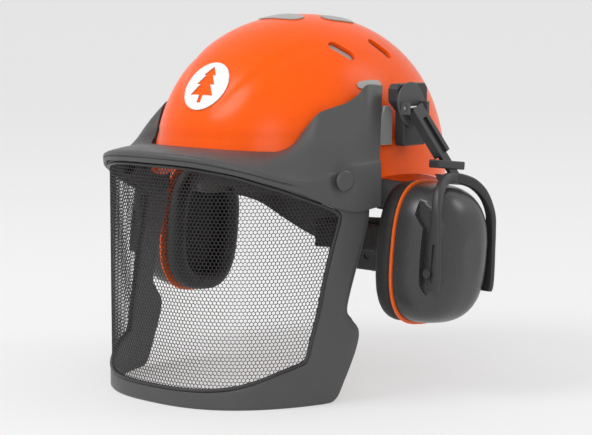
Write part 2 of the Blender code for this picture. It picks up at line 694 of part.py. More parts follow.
for side, sign in (("left", 1), ("right", -1)):
    # Pivot cap and its spindle, which turns in the adapter.
    cap_out = prism(
        f"pivot_cap_{side}",
        rounded(15.5, 18.0, 2.3, 32) @ np.array([[0.85, 0.53], [-0.53, 0.85]]),
        (0, -11.0, 75.5),
        (0, 1, 0),
        (0, 0, 1),
        119.6,
        122.1,
        GREY,
        mirror=sign,
        bevel=0.9,
    )
    spindle = turned(
        f"cut_spindle_{side}", (112.0, -11.0, 75.5), (1, 0, 0), [(5.0, 0), (5.0, 9.0)], mirror=sign
    )
    boolean(cap_out, spindle, "UNION")
    socket = turned(
        f"cut_socket_{side}", (111.4, -11.0, 75.5), (1, 0, 0), [(5.4, 0), (5.4, 12.0)], mirror=sign
    )
    boolean(bpy.data.objects[f"adapter_{side}"], socket)
    lug_front = block(f"cut_lug_a_{side}", (121.5, -25.8, 68.5), (130.0, -23.2, 78.0), mirror=sign)
    lug_rear = block(f"cut_lug_b_{side}", (121.5, -2.4, 68.5), (130.0, 0.2, 78.0), mirror=sign)
    boolean(cap_out, lug_front, "UNION")
    boolean(cap_out, lug_rear, "UNION")
    # Hinge pin between the lugs, on which the spring arm swings outwards.
    turned(
        f"hinge_pin_{side}",
        (126.8, -26.4, 73.5),
        (0, 1, 0),
        [(1.5, 0), (1.5, 27.2)],
        LIGHT_GREY,
        count=16,
        mirror=sign,
    )
    bore = turned(f"cut_lug_bore_{side}", (126.8, -29, 73.5), (0, 1, 0), [(1.85, 0), (1.85, 33)], count=16, mirror=sign)
    boolean(cap_out, bore)

    # Spring arm: a channel whose rails guide the yoke stem.
    arm = arm_box(f"spring_arm_{side}", -1.5, arm_length - 9.0, 7.2, -2.7, 4.4, DARK, mirror=sign)
    channel = arm_box(f"cut_channel_{side}", 6, arm_length + 4, 4.9, -1.4, 2.6, mirror=sign)
    window = arm_box(f"cut_window_{side}", 9, arm_length - 8, 2.9, -1.0, 6.0, mirror=sign)
    arm_bore = turned(
        f"cut_arm_bore_{side}", (126.8, -36, 73.5), (0, 1, 0), [(1.85, 0), (1.85, 60)], count=16, mirror=sign
    )
    boolean(arm, channel)
    boolean(arm, window)
    boolean(arm, arm_bore)
    # Collar across the foot of the arm.
    collar = loft(
        f"slide_collar_{side}",
        [cup_space([(9.2, -16.5, v), (9.2, 17.5, v), (19.4, 17.5, v), (19.4, -16.5, v)]) for v in (67.0, 73.5)],
        DARK,
        mirror=sign,
        bevel=1.0,
    )
    collar_hole = arm_box(f"cut_collar_{side}", arm_length - 9, arm_length + 9, 5.0, -1.7, 2.7, mirror=sign)
    boolean(collar, collar_hole)

    # Yoke: stem, plate and two legs in one moulding.
    yoke = bar(f"yoke_{side}", FRONT_LEG, DARK, mirror=sign)
    rear_path = [((w, -u + 4.0 if u > 0 else -u, v), a, b) for (w, u, v), a, b in FRONT_LEG]
    rear_leg = bar(f"cut_leg_{side}", rear_path, mirror=sign)
    plate = loft(
        f"cut_plate_{side}",
        [
            cup_space([(o + 2.9, -15, v), (o + 2.9, 17, v), (o - 2.9, 17, v), (o - 2.9, -15, v)])
            for o, v in ((17.9, 62.5), (22.6, 55.2))
        ],
        mirror=sign,
        bevel=0.8,
    )
    stem = arm_box(f"cut_stem_{side}", 10, arm_length + 16, 4.5, -1.0, 2.2, mirror=sign)
    for extra in (rear_leg, plate, stem):
        boolean(yoke, extra, "UNION")

    # Cup, hollow and open towards the head, with a flat seat for each yoke leg.
    levels = (0, 0.2, 0.42, 0.6, 0.76, 0.88, 0.95, 0.985)
    cup = loft(f"cup_{side}", dome(CUP_HALF, CUP_DEPTH, levels), GREY, mirror=sign)
    hollow = loft(
        f"cut_hollow_{side}",
        [cup_ring(27, 49, -3)] + dome((27.0, 49.0), 42.5, levels),
        mirror=sign,
    )
    boolean(cup, hollow)
    for place, toward in (("front", -1), ("rear", 1)):
        seat_face = sorted((toward * 31.4, toward * 60))
        corners = [(a, b) for a, b in ((15, -34), (60, -34), (60, 40), (15, 40))]
        seat = loft(
            f"cut_seat_{place}_{side}",
            [cup_space([(w, u, v) for w, v in corners]) for u in seat_face],
            mirror=sign,
        )
        boolean(cup, seat)
        start = cup_space([(PIVOT[0] - 4.5, toward * 29.0, PIVOT[1])])[0]
        along = cup_space([(PIVOT[0] - 4.5, toward * 30.0, PIVOT[1])])[0] - start
        bore = turned(f"cut_bore_{place}_{side}", start, along, [(2.8, 0), (2.8, 12)], count=18, mirror=sign)
        boolean(cup, bore)
        boolean(yoke, bore)
        turned(
            f"cup_pin_{place}_{side}",
            cup_space([(PIVOT[0] - 4.5, toward * 29.4, PIVOT[1])])[0],
            along,
            [(2.4, 0), (2.4, 8.4), (3.6, 8.4), (3.6, 9.2)],
            DARK,
            count=18,
            mirror=sign,
        )

    # Trim ring, cushion and foam.
    flat_ring = [
        cup_ring(41.4, 57.4, -0.4), cup_ring(41.4, 57.4, -2.6), cup_ring(25.0, 42.0, -2.6), cup_ring(25.0, 42.0, -0.4),
    ]
    loft(f"trim_ring_{side}", flat_ring, ORANGE, closed=True, mirror=sign)
    fat = []
    for k in range(10):
        a = 2 * math.pi * (k + 0.5) / 10
        # The cushion is flat where it meets the ring and full towards the head.
        across = 8.6 * abs(math.cos(a)) ** 0.8 * math.copysign(1, math.cos(a))
        deep = 9.4 * abs(math.sin(a)) ** 0.8 * math.copysign(1, math.sin(a))
        fat.append(cup_ring(32.4 + across, 48.4 + across, -12.4 + deep))
    loft(f"cushion_{side}", fat, DARK, closed=True, mirror=sign)
    loft(
        f"foam_{side}",
        [cup_ring(26.2, 46.5, 1.0), cup_ring(26.2, 46.5, 9.0)],
        DARK,
        mirror=sign,
    )


# ---------------------------------------------------------------- harness

BAND_HALF = 84.0
BAND_FRONT = -104.0


def band(name, points, thick, colour, mirror=1):
    """A strap: stations of (x, y, middle z, height), standing on edge, thick to the outside of the line."""
    p = np.array([q[:2] for q in points], float)
    along = np.gradient(p, axis=0)
    along /= np.linalg.norm(along, axis=1, keepdims=True)
    out = np.stack([along[:, 1], -along[:, 0]], 1)
    rows_in, rows_out = [], []
    for (x, y, z, h), o in zip(points, out, strict=True):
        column = np.linspace(-h / 2, h / 2, 2)
        rows_in.append([(x, y, z + c) for c in column])
        rows_out.append([(x + o[0] * thick, y + o[1] * thick, z + c) for c in column])
    return slab(name, np.array(rows_out), np.array(rows_in), colour, mirror=mirror)


front = []
for t in np.linspace(0, 180, 33):
    a = math.radians(t)
    rise = 3 + 21 * math.sin(a) ** 2
    front.append((-BAND_HALF * math.cos(a), BAND_FRONT * math.sin(a), rise, 22 + 4 * math.sin(a)))
headband_path = [(-BAND_HALF, 34, 0, 18), (-BAND_HALF, 17, 1, 20)] + front
headband_path += [(BAND_HALF, 17, 1, 20), (BAND_HALF, 34, 0, 18)]
band("headband", headband_path, 1.6, DARK)
sweat = []
for t in np.linspace(28, 152, 25):
    a = math.radians(t)
    taper = min(1.0, (90 - abs(t - 90) - 28) / 10 + 0.45)
    rise = 3 + 21 * math.sin(a) ** 2
    sweat.append(((2.6 - BAND_HALF + 2) * math.cos(a), (BAND_FRONT + 5.2) * math.sin(a), rise, 24 * taper))
band("sweatband", sweat, 4.0, DARK)

nape = []
for t in np.linspace(0, 180, 33):
    a = math.radians(t)
    drop = math.sin(a)
    nape.append((82.0 * math.cos(a), 28 + 50 * drop, -10 - 37 * drop**1.3, 17 + 16 * drop**1.5))
nape_path = [(80.2, -4, -3, 14), (81.2, 12, -6, 15)] + nape + [(-81.2, 12, -6, 15), (-80.2, -4, -3, 14)]
band("nape_strap", nape_path, 1.6, DARK)
pad = []
for t in np.linspace(52, 128, 15):
    a = math.radians(t)
    pad.append((79.0 * math.cos(a) * 0.93, 26.5 + 44.5 * math.sin(a), -47.5, 27))
band("nape_pad", pad, 4.0, DARK)
block("ratchet_housing", (-24.0, 80.2, -78.0), (24.0, 87.0, -52.0), DARK, bevel=1.5)
knob_bore = turned("cut_knob_bore", (0, 70, -65.0), (0, 1, 0), [(3.4, 0), (3.4, 40)], count=20)
boolean(bpy.data.objects["ratchet_housing"], knob_bore)
turned(
    "ratchet_knob",
    (0, 81.0, -65.0),
    (0, 1, 0),
    [(3.0, 0), (3.0, 6.4), (13.5, 6.4), (15.0, 7.4), (15.0, 14.0), (13.0, 15.4)],
    DARK,
)

# Cradle: three straps over the crown, one above another, and the six hooks that hold them to the shell.
STRAPS = {"front": 38.0, "middle": 90.0, "rear": 142.0}
for level, (name, degrees) in enumerate(STRAPS.items()):
    a = math.radians(degrees)
    d = np.array([math.sin(a), -math.cos(a)])
    side_way = np.array([d[1], -d[0]])
    reach_x, reach_y = 90.0, 112.0
    reach = 1 / math.hypot(d[0] / reach_x, d[1] / reach_y)
    crown = 106.0 + 2.0 * level
    low_z = 26.0
    path = []
    for t in np.linspace(-1, 1, 25):
        s = math.copysign(abs(math.sin(t * math.pi / 2)) ** (2 / 2.2), t)
        h = abs(math.cos(t * math.pi / 2)) ** (2 / 2.2)
        path.append((d * reach * s, low_z + (crown - low_z) * h))
    outer_rows, inner_rows = [], []
    for k, (q, z) in enumerate(path):
        before, after = path[max(k - 1, 0)], path[min(k + 1, len(path) - 1)]
        run = np.array([*(after[0] - before[0]), after[1] - before[1]])
        n = np.cross(run, (*side_way, 0))
        n /= np.linalg.norm(n)
        middle = np.array([*q, z])
        if (n @ (middle - np.array([0, 0, 40]))) < 0:
            n = -n
        row = [middle + np.array([*side_way, 0]) * b for b in (-9.5, 0, 9.5)]
        outer_rows.append([r + n * 1.1 for r in row])
        inner_rows.append(row)
    slab(f"cradle_strap_{name}", np.array(outer_rows), np.array(inner_rows), DARK)
HOOKS = {"front": 38.0, "middle": 90.0, "rear": 142.0}
for name, degrees in HOOKS.items():
    for side, sign in (("left", 1), ("right", -1)):
        a = math.radians(degrees)
        d = np.array([math.sin(a), -math.cos(a), 0.0])
        wide = np.array([math.cos(a), math.sin(a), 0.0])
        reach = 1 / math.hypot(d[0] / 90.0, d[1] / 112.0)
        wall = 1 / (
            (abs(d[0]) / (SHELL_HALF[0] - SHELL_WALL - 0.6)) ** PLAN_ROUND
            + (abs(d[1]) / (SHELL_HALF[1] - SHELL_WALL - 0.6)) ** PLAN_ROUND
        ) ** (1 / PLAN_ROUND)
        start = reach + 1.6
        end = wall - 7.5
        sections = []
        for along in (start, end):
            middle = d * along + np.array([0, 0, 0.0])
            sections.append([middle + wide * b + np.array([0, 0, z]) for b, z in ((-8, 21), (8, 21), (8, 36), (-8, 36))])
        loft(f"strap_hook_{name}_{side}", sections, DARK, mirror=sign, bevel=0.6)
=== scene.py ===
"""Forestry helmet: the looks of each piece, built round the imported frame.

Sizes are in millimetres and become metres when a mesh is made. Z is up, the wearer looks along -Y, and X is
the wearer's left.
"""

import math

import bmesh
import bpy
import numpy as np
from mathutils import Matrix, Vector


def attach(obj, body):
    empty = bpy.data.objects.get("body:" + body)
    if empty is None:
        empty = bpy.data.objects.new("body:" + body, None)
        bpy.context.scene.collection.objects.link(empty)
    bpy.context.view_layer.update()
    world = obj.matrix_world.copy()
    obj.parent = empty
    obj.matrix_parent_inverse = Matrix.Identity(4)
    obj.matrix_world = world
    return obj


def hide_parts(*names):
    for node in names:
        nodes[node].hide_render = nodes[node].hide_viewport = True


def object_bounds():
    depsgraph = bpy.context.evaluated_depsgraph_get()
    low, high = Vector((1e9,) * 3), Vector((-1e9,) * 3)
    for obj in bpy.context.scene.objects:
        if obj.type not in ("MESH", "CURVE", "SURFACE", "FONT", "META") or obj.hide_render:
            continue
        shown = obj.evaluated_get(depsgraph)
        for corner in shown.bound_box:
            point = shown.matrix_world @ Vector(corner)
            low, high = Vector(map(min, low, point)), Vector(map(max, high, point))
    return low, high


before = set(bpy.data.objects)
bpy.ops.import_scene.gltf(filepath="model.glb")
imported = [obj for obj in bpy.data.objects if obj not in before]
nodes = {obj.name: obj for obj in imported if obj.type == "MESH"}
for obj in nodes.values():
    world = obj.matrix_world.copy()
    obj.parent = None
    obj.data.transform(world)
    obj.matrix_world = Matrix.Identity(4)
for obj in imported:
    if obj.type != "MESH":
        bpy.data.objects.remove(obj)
cad_low, cad_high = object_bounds()
MM = 0.001
SIDES = (("left", 1), ("right", -1))

# ------------------------------------------------------------------ room, light and camera
# A pale round studio floor that curves up into its wall, lit by large soft lamps from above the wearer's
# right and front, with a weaker one behind.

FLOOR_HEIGHT = cad_low.z
room_profile = [
    (0.0, 0.0), (1.5, 0.0), (3.4, 0.0), (4.2, 0.06), (4.8, 0.3), (5.2, 0.8), (5.4, 1.6), (5.4, 4.2),
]
ROOM_SIDES = 96
room_points, room_faces = [(0.0, 0.0, FLOOR_HEIGHT)], []
for radius, height in room_profile[1:]:
    for k in range(ROOM_SIDES):
        turn = 2 * math.pi * k / ROOM_SIDES
        room_points.append((radius * math.cos(turn), radius * math.sin(turn), FLOOR_HEIGHT + height))
for k in range(ROOM_SIDES):
    room_faces.append((0, 1 + k, 1 + (k + 1) % ROOM_SIDES))
    for ring in range(len(room_profile) - 2):
        a, b = 1 + ring * ROOM_SIDES, 1 + (ring + 1) * ROOM_SIDES
        room_faces.append((a + k, b + k, b + (k + 1) % ROOM_SIDES, a + (k + 1) % ROOM_SIDES))
room_mesh = bpy.data.meshes.new("studio_floor")
room_mesh.from_pydata(room_points, [], room_faces)
room_mesh.polygons.foreach_set("use_smooth", [True] * len(room_mesh.polygons))
studio_floor = bpy.data.objects.new("studio_floor", room_mesh)
bpy.context.scene.collection.objects.link(studio_floor)
paper = bpy.data.materials.new("pale_paper")
paper.use_nodes = True
paper.node_tree.nodes["Principled BSDF"].inputs["Base Color"].default_value = (0.4, 0.4, 0.4, 1)
paper.node_tree.nodes["Principled BSDF"].inputs["Emission Color"].default_value = (1, 1, 1, 1)
paper.node_tree.nodes["Principled BSDF"].inputs["Emission Strength"].default_value = 0.45
paper.node_tree.nodes["Principled BSDF"].inputs["Roughness"].default_value = 0.9
room_mesh.materials.append(paper)

world = bpy.data.worlds.new("studio_air")
bpy.context.scene.world = world
world.use_nodes = True
world.node_tree.nodes["Background"].inputs["Color"].default_value = (1, 1, 1, 1)
world.node_tree.nodes["Background"].inputs["Strength"].default_value = 0.72


def lamp(name, place, aim, size, watts):
    data = bpy.data.lights.new(name, "AREA")
    data.shape = "DISK"
    data.size = size
    data.energy = watts
    obj = bpy.data.objects.new(name, data)
    obj.location = place
    obj.rotation_euler = (Vector(aim) - Vector(place)).to_track_quat("-Z", "Y").to_euler()
    bpy.context.scene.collection.objects.link(obj)


lamp("lamp_key", (-0.6, -1.5, 1.7), (0, 0, 0), 1.1, 22)
lamp("lamp_front", (1.5, -1.7, 0.9), (0, 0, -0.03), 1.0, 8)
lamp("lamp_back", (1.2, 1.5, 1.5), (0, 0, 0), 0.9, 6)

CAMERA_TURN, CAMERA_RISE, CAMERA_AWAY = math.radians(42.2), math.radians(6.9), 1.5
towards_camera = Vector(
    (
        math.sin(CAMERA_TURN) * math.cos(CAMERA_RISE),
        -math.cos(CAMERA_TURN) * math.cos(CAMERA_RISE),
        math.sin(CAMERA_RISE),
    )
)
camera_data = bpy.data.cameras.new("camera")
camera_data.sensor_width = 36.0
camera_data.lens = 109.46
camera_data.clip_end = 50
camera = bpy.data.objects.new("camera", camera_data)
camera.location = Vector((0, -0.012, -0.0232)) + towards_camera * CAMERA_AWAY
camera.rotation_euler = (-towards_camera).to_track_quat("-Z", "Y").to_euler()
bpy.context.scene.collection.objects.link(camera)
bpy.context.scene.camera = camera
bpy.context.scene.view_settings.view_transform = "Standard"

# ------------------------------------------------------------------ shell
# The hard outer shell is injection-moulded in glossy orange plastic, one even wall with a rounded rim, four
# slanted vents near the crown and a slot in each side for the muff adapter.

SHELL_HALF = (104.0, 134.5)
SHELL_HEIGHT, SHELL_BACK, SHELL_WALL = 145.5, -4.5, 2.6
DOME_POWER, DOME_ROUND, PLAN_ROUND = 2.5, 2.05, 2.15
RIM = [
    (0, 27), (25, 25), (45, 17), (58, 12), (70, 15), (84, 19), (100, 18), (116, 12), (132, 5),
    (150, -2), (180, -6),
]


def spline(x, knots):
    """Smooth curve through (x, value) knots, where a value is a number or a point."""
    xs = np.array([k[0] for k in knots], float)
    ys = np.array([np.atleast_1d(k[1]) for k in knots], float)
    slopes = np.gradient(ys, xs, axis=0)
    x = np.atleast_1d(np.asarray(x, float))
    i = np.clip(np.searchsorted(xs, x) - 1, 0, len(xs) - 2)
    h = xs[i + 1] - xs[i]
    t = np.clip((x - xs[i]) / h, 0, 1)[:, None]
    h = h[:, None]
    out = (2 * t**3 - 3 * t**2 + 1) * ys[i] + (t**3 - 2 * t**2 + t) * h * slopes[i]
    out += (-2 * t**3 + 3 * t**2) * ys[i + 1] + (t**3 - t**2) * h * slopes[i + 1]
    return out[:, 0] if out.shape[1] == 1 else out


def ease(value, low, high):
    """0 below low, 1 above high, smooth between."""
    t = np.clip((np.asarray(value, float) - low) / (high - low), 0, 1)
    return t * t * (3 - 2 * t)


def part(name, points, faces, mirror=1):
    """A mesh object from points in millimetres, its faces turned outwards. mirror=-1 is the other side."""
    points = np.asarray(points, float).reshape(-1, 3) * MM
    points = points * np.array([mirror, 1, 1])
    mesh = bpy.data.meshes.new(name)
    mesh.from_pydata(points.tolist(), [], [tuple(int(i) for i in f) for f in faces])
    form = bmesh.new()
    form.from_mesh(mesh)
    bmesh.ops.remove_doubles(form, verts=form.verts, dist=1e-6)
    bmesh.ops.recalc_face_normals(form, faces=form.faces)
    form.to_mesh(mesh)
    form.free()
    mesh.polygons.foreach_set("use_smooth", [True] * len(mesh.polygons))
    obj = bpy.data.objects.new(name, mesh)
    bpy.context.scene.collection.objects.link(obj)
    return obj


def soften(obj, width, segments=3, angle=38):
    """Rounds the hard edges of a moulding and keeps its flat faces flat."""
    edge = obj.modifiers.new("rounded_edge", "BEVEL")
    edge.width = width * MM
    edge.segments = segments
    edge.limit_method = "ANGLE"
    edge.angle_limit = math.radians(angle)
    edge.use_clamp_overlap = True
    level = obj.modifiers.new("even_shading", "WEIGHTED_NORMAL")
    level.keep_sharp = True
    return obj


def settle(obj):
    """Applies what is on the object, so that its final mesh is its own."""
    bpy.context.view_layer.update()
    graph = bpy.context.evaluated_depsgraph_get()
    final = bpy.data.meshes.new_from_object(obj.evaluated_get(graph))
    obj.modifiers.clear()
    obj.data = final
    return obj


def grid_faces(rows, columns, start=0, wrap=False):
    faces = []
    for i in range(rows if wrap else rows - 1):
        k = (i + 1) % rows
        for j in range(columns - 1):
            a, b = start + i * columns + j, start + k * columns + j
            faces.append((a, b, b + 1, a + 1))
    return faces


def between(outer, inner, wrap=False):
    """Points and faces of the closed body between two grids of points."""
    rows, columns = outer.shape[:2]
    top = rows * columns
    points = np.concatenate([outer.reshape(-1, 3), inner.reshape(-1, 3)])
    faces = grid_faces(rows, columns, 0, wrap) + grid_faces(rows, columns, top, wrap)
    for i in range(rows if wrap else rows - 1):
        k = (i + 1) % rows
        for j in (0, columns - 1):
            faces.append((i * columns + j, k * columns + j, top + k * columns + j, top + i * columns + j))
    if not wrap:
        for i in (0, rows - 1):
            for j in range(columns - 1):
                a = i * columns + j
                faces.append((a, a + 1, top + a + 1, top + a))
    return points, faces


def outward(grid, wrap=False):
    """Unit normals of a grid of points."""
    along = np.roll(grid, -1, 0) - np.roll(grid, 1, 0) if wrap else np.gradient(grid, axis=0)
    n = np.cross(along, np.gradient(grid, axis=1))
    return n / np.maximum(np.linalg.norm(n, axis=2, keepdims=True), 1e-9)


def moulded(name, colour, rough, grain=900.0, relief=0.05, shift=0.08, coat=0.0):
    """Moulded plastic: a fine moulded grain, a slow drift of colour and gloss, and light handling marks."""
    material = bpy.data.materials.new(name)
    material.use_nodes = True
    tree = material.node_tree
    shader = tree.nodes["Principled BSDF"]
    shader.inputs["IOR"].default_value = 1.49
    shader.inputs["Coat Weight"].default_value = coat
    shader.inputs["Coat Roughness"].default_value = 0.12
    place = tree.nodes.new("ShaderNodeTexCoord")
    drift = tree.nodes.new("ShaderNodeTexNoise")
    drift.inputs["Scale"].default_value = 26
    drift.inputs["Detail"].default_value = 4
    fine = tree.nodes.new("ShaderNodeTexNoise")
    fine.inputs["Scale"].default_value = grain
    fine.inputs["Detail"].default_value = 3
    scuff = tree.nodes.new("ShaderNodeTexNoise")
    scuff.inputs["Scale"].default_value = 140
    scuff.inputs["Detail"].default_value = 6
    for texture in (drift, fine, scuff):
        tree.links.new(place.outputs["Object"], texture.inputs["Vector"])
    colours = tree.nodes.new("ShaderNodeValToRGB")
    colours.color_ramp.elements[0].position = 0.35
    colours.color_ramp.elements[1].position = 0.65
    colours.color_ramp.elements[0].color = (*[c * (1 - shift) for c in colour], 1)
    colours.color_ramp.elements[1].color = (*[min(1, c * (1 + shift)) for c in colour], 1)
    tree.links.new(drift.outputs["Fac"], colours.inputs["Fac"])
    tree.links.new(colours.outputs["Color"], shader.inputs["Base Color"])
    gloss = tree.nodes.new("ShaderNodeMapRange")
    gloss.inputs["From Min"].default_value = 0.3
    gloss.inputs["From Max"].default_value = 0.7
    gloss.inputs["To Min"].default_value = rough * 0.88
    gloss.inputs["To Max"].default_value = rough * 1.14
    tree.links.new(scuff.outputs["Fac"], gloss.inputs["Value"])
    tree.links.new(gloss.outputs["Result"], shader.inputs["Roughness"])
    bump = tree.nodes.new("ShaderNodeBump")
    bump.inputs["Strength"].default_value = relief
    bump.inputs["Distance"].default_value = 0.0004
    tree.links.new(fine.outputs["Fac"], bump.inputs["Height"])
    tree.links.new(bump.outputs["Normal"], shader.inputs["Normal"])
    return material


def finish_with(obj, material):
    obj.data.materials.clear()
    obj.data.materials.append(material)
    return obj


orange_gloss = moulded("orange_gloss", (0.95, 0.1, 0.0), 0.27, grain=500, relief=0.004, shift=0.02)
orange_gloss.node_tree.nodes["Principled BSDF"].inputs["Specular IOR Level"].default_value = 0.2
white_print = moulded("white_print", (0.8, 0.8, 0.79), 0.4, grain=1500, relief=0.02, shift=0.02)


def shell_round(z, grow=0.0):
    t = np.clip(np.asarray(z, float) / (SHELL_HEIGHT + grow), 0, 1)
    return (1 - t**DOME_POWER) ** (1 / DOME_ROUND)


def inside_shell(p):
    """Below 0 inside the shell's outer face, and above 0 outside it."""
    across = (np.abs(p[..., 0]) / SHELL_HALF[0]) ** PLAN_ROUND
    deep = (np.abs(p[..., 1] - SHELL_BACK) / SHELL_HALF[1]) ** PLAN_ROUND
    return across + deep - shell_round(np.maximum(p[..., 2], 0)) ** PLAN_ROUND


def onto_shell(start, direction):
    """Where lines from start along direction meet the shell, and the shell's normals there."""
    near, far = np.zeros(start.shape[:-1]), np.full(start.shape[:-1], 45.0)
    for _ in range(36):
        middle = (near + far) / 2
        hit = inside_shell(start + direction * middle[..., None]) < 0
        far, near = np.where(hit, middle, far), np.where(hit, near, middle)
    p = start + direction * far[..., None]
    n = np.stack([inside_shell(p + e) - inside_shell(p - e) for e in np.eye(3) * 0.3], -1)
    return p, n / np.linalg.norm(n, axis=-1, keepdims=True)


def shell_spot(centre, long_way):
    """A frame on the shell: its point, long axis, cross axis and normal."""
    c = np.asarray(centre, float)
    p, n = onto_shell(c * 1.15, -c / np.linalg.norm(c))
    ax = np.asarray(long_way, float)
    ax = ax - n * (ax @ n)
    ax = ax / np.linalg.norm(ax)
    return p, ax, np.cross(n, ax), n


def dome_grid(rows, columns, grow=0.0, relief=False):
    angle = np.linspace(0, 2 * math.pi, rows, endpoint=False)
    degrees = np.degrees(angle)
    rim = spline(np.where(degrees > 180, 360 - degrees, degrees), RIM)
    s, c = np.sin(angle), -np.cos(angle)
    k = (np.abs(s) ** PLAN_ROUND + np.abs(c) ** PLAN_ROUND) ** (-1 / PLAN_ROUND)
    x, y = (SHELL_HALF[0] + grow) * s * k, (SHELL_HALF[1] + grow) * c * k
    grid = []
    for w in np.linspace(0, 0.996, columns):
        z = rim * (1 - w) ** 3 + (SHELL_HEIGHT + grow) * math.sin(w * math.pi / 2) ** (2 / DOME_POWER)
        scale = shell_round(z, grow)
        swell = 1 + 1.8 * np.exp(-(((z - rim) / 5.0) ** 2)) / 110
        grid.append(np.stack([x * scale * swell, y * scale * swell + SHELL_BACK, z], 1))
    grid = np.stack(grid, 1)
    if relief:
        n = outward(grid, wrap=True)
        n = np.where((n * (grid - np.array([0, SHELL_BACK, 40]))).sum(-1, keepdims=True) < 0, -n, n)
        px, py, pz = grid[..., 0], grid[..., 1], grid[..., 2]
        # A soft crease runs down each side of the brow, and a low step crosses above the peak.
        off_crease = np.abs(px) - (25 + (pz - 80) * 0.62)
        crease = np.exp(-((np.maximum(off_crease, 0) / 10) ** 2))
        crease *= np.exp(-((np.minimum(off_crease, 0) / 2.2) ** 2))
        crease *= ease(pz, 62, 80) * (1 - ease(pz, 112, 128)) * (1 - ease(py, -50, -35))
        step = (1 - ease(pz, 52, 56)) * (1 - ease(py, -70, -50)) * ease(pz, 44, 50)
        grid = grid - n * (crease * 1.1 + step * 0.7)[..., None]
    return grid


def bowl(outer, inner, outer_top, inner_top):
    rows, columns = outer.shape[:2]
    points, faces = between(outer, inner, wrap=True)
    top = rows * columns
    faces = [f for f in faces if not all(i % columns == columns - 1 for i in f)]
    crown = len(points)
    points = np.concatenate([points, [outer_top, inner_top]])
    for i in range(rows):
        a, b = i * columns + columns - 1, ((i + 1) % rows) * columns + columns - 1
        faces += [(a, b, crown), (top + a, top + b, crown + 1)]
    return points, faces


def slot_outline(length, width, count=32):
    a = np.linspace(-math.pi / 2, math.pi / 2, count // 2)
    r, x = width / 2, length / 2 - width / 2
    end = np.stack([x + r * np.cos(a), r * np.sin(a)], 1)
    return np.concatenate([end, -end])


def joined(sections, closed=False):
    """Points and faces of equal closed outlines joined in order, with flat ends unless closed."""
    n, count = len(sections[0]), len(sections)
    faces = []
    for i in range(count if closed else count - 1):
        k = (i + 1) % count
        faces += [(i * n + j, i * n + (j + 1) % n, k * n + (j + 1) % n, k * n + j) for j in range(n)]
    if not closed:
        faces += [tuple(range(n)), tuple((count - 1) * n + j for j in range(n))]
    return np.concatenate([np.asarray(s, float) for s in sections]), faces


def cut(obj, *tools):
    """Cuts the tools out of the object, and removes them."""
    for tool in tools:
        step = obj.modifiers.new("cut", "BOOLEAN")
        step.solver, step.operation, step.object = "EXACT", "DIFFERENCE", tool
        settle(obj)
        bpy.data.objects.remove(tool, do_unlink=True)
    return obj


SHELL_ROWS, SHELL_COLUMNS = 168, 52
shell_skin = part(
    "shell_skin",
    *bowl(
        dome_grid(SHELL_ROWS, SHELL_COLUMNS, relief=True),
        dome_grid(SHELL_ROWS, SHELL_COLUMNS, grow=-SHELL_WALL),
        (0, SHELL_BACK, SHELL_HEIGHT),
        (0, SHELL_BACK, SHELL_HEIGHT - SHELL_WALL),
    ),
)
VENTS = (((65.0, -30.0, 116.0), (15.0, 13.0, -11.0)), ((65.5, 17.0, 117.5), (11.0, 12.0, -12.0)))
tools = []
for side, sign in SIDES:
    for centre, long_way in VENTS:
        p, ax, ay, n = shell_spot(centre, long_way)
        flat = slot_outline(24, 10)
        ring = p + flat[:, :1] * ax + flat[:, 1:] * ay
        tools.append(part("vent_tool", *joined([ring - n * 9, ring + n * 9]), mirror=sign))
    y0, y1, z0, z1 = -1.0, 12.0, 44.5, 56.0
    corners = [(y0, z0), (y1, z0), (y1, z1), (y0, z1)]
    ends = [[(x, y, z) for y, z in corners] for x in (84, 112)]
    tools.append(part("slot_tool", *joined(ends), mirror=sign))
cut(shell_skin, *tools)
soften(shell_skin, 0.8, angle=50)
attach(shell_skin, "helmet")
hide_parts("shell")
finish_with(shell_skin, orange_gloss)

# ------------------------------------------------------------------ front mark
# A plain printed disc where a helmet carries its badge, with a simple conifer left open in the print.

disc = bpy.data.curves.new("front_mark_outline", "CURVE")
disc.dimensions, disc.fill_mode = "2D", "BOTH"
turns = np.linspace(0, 2 * math.pi, 96, endpoint=False)
tree_half = [(0, 17.5), (6.5, 9), (3.6, 9), (9.5, 0.5), (5.4, 0.5), (12, -9), (2, -9), (2, -15.5)]
tree_outline = tree_half + [(-a, b) for a, b in tree_half[:0:-1]]
for outline_points in ([(21.5 * math.cos(t), 21.5 * math.sin(t)) for t in turns], tree_outline):
    line = disc.splines.new("POLY")
    line.points.add(len(outline_points) - 1)
    for point, (a, b) in zip(line.points, outline_points, strict=True):
        point.co = (a, b, 0, 1)
    line.use_cyclic_u = True
disc_obj = bpy.data.objects.new("front_mark_outline", disc)
bpy.context.scene.collection.objects.link(disc_obj)
bpy.context.view_layer.update()
flat_mark = bpy.data.meshes.new_from_object(disc_obj.evaluated_get(bpy.context.evaluated_depsgraph_get()))
bpy.data.objects.remove(disc_obj, do_unlink=True)
form = bmesh.new()
form.from_mesh(flat_mark)
for axis in (0, 1):
    for at in np.arange(-21, 21.1, 3.0):
        spot = Vector((at, 0, 0)) if axis == 0 else Vector((0, at, 0))
        normal = Vector((1, 0, 0)) if axis == 0 else Vector((0, 1, 0))
        everything = form.verts[:] + form.edges[:] + form.faces[:]
        bmesh.ops.bisect_plane(form, geom=everything, plane_co=spot, plane_no=normal)
form.verts.index_update()
mark_flat = np.array([v.co for v in form.verts])
mark_faces = [[v.index for v in f.verts] for f in form.faces]
form.free()
p, ax, ay, n = shell_spot((0, -114, 88), (1, 0, 0))
start = p + mark_flat[:, :1] * ax + mark_flat[:, 1:2] * ay + n * 20
surface, facing = onto_shell(start, np.broadcast_to(-n, start.shape))
front_print = part("front_print", surface + facing * 0.7, mark_faces)
skin = front_print.modifiers.new("print_thickness", "SOLIDIFY")
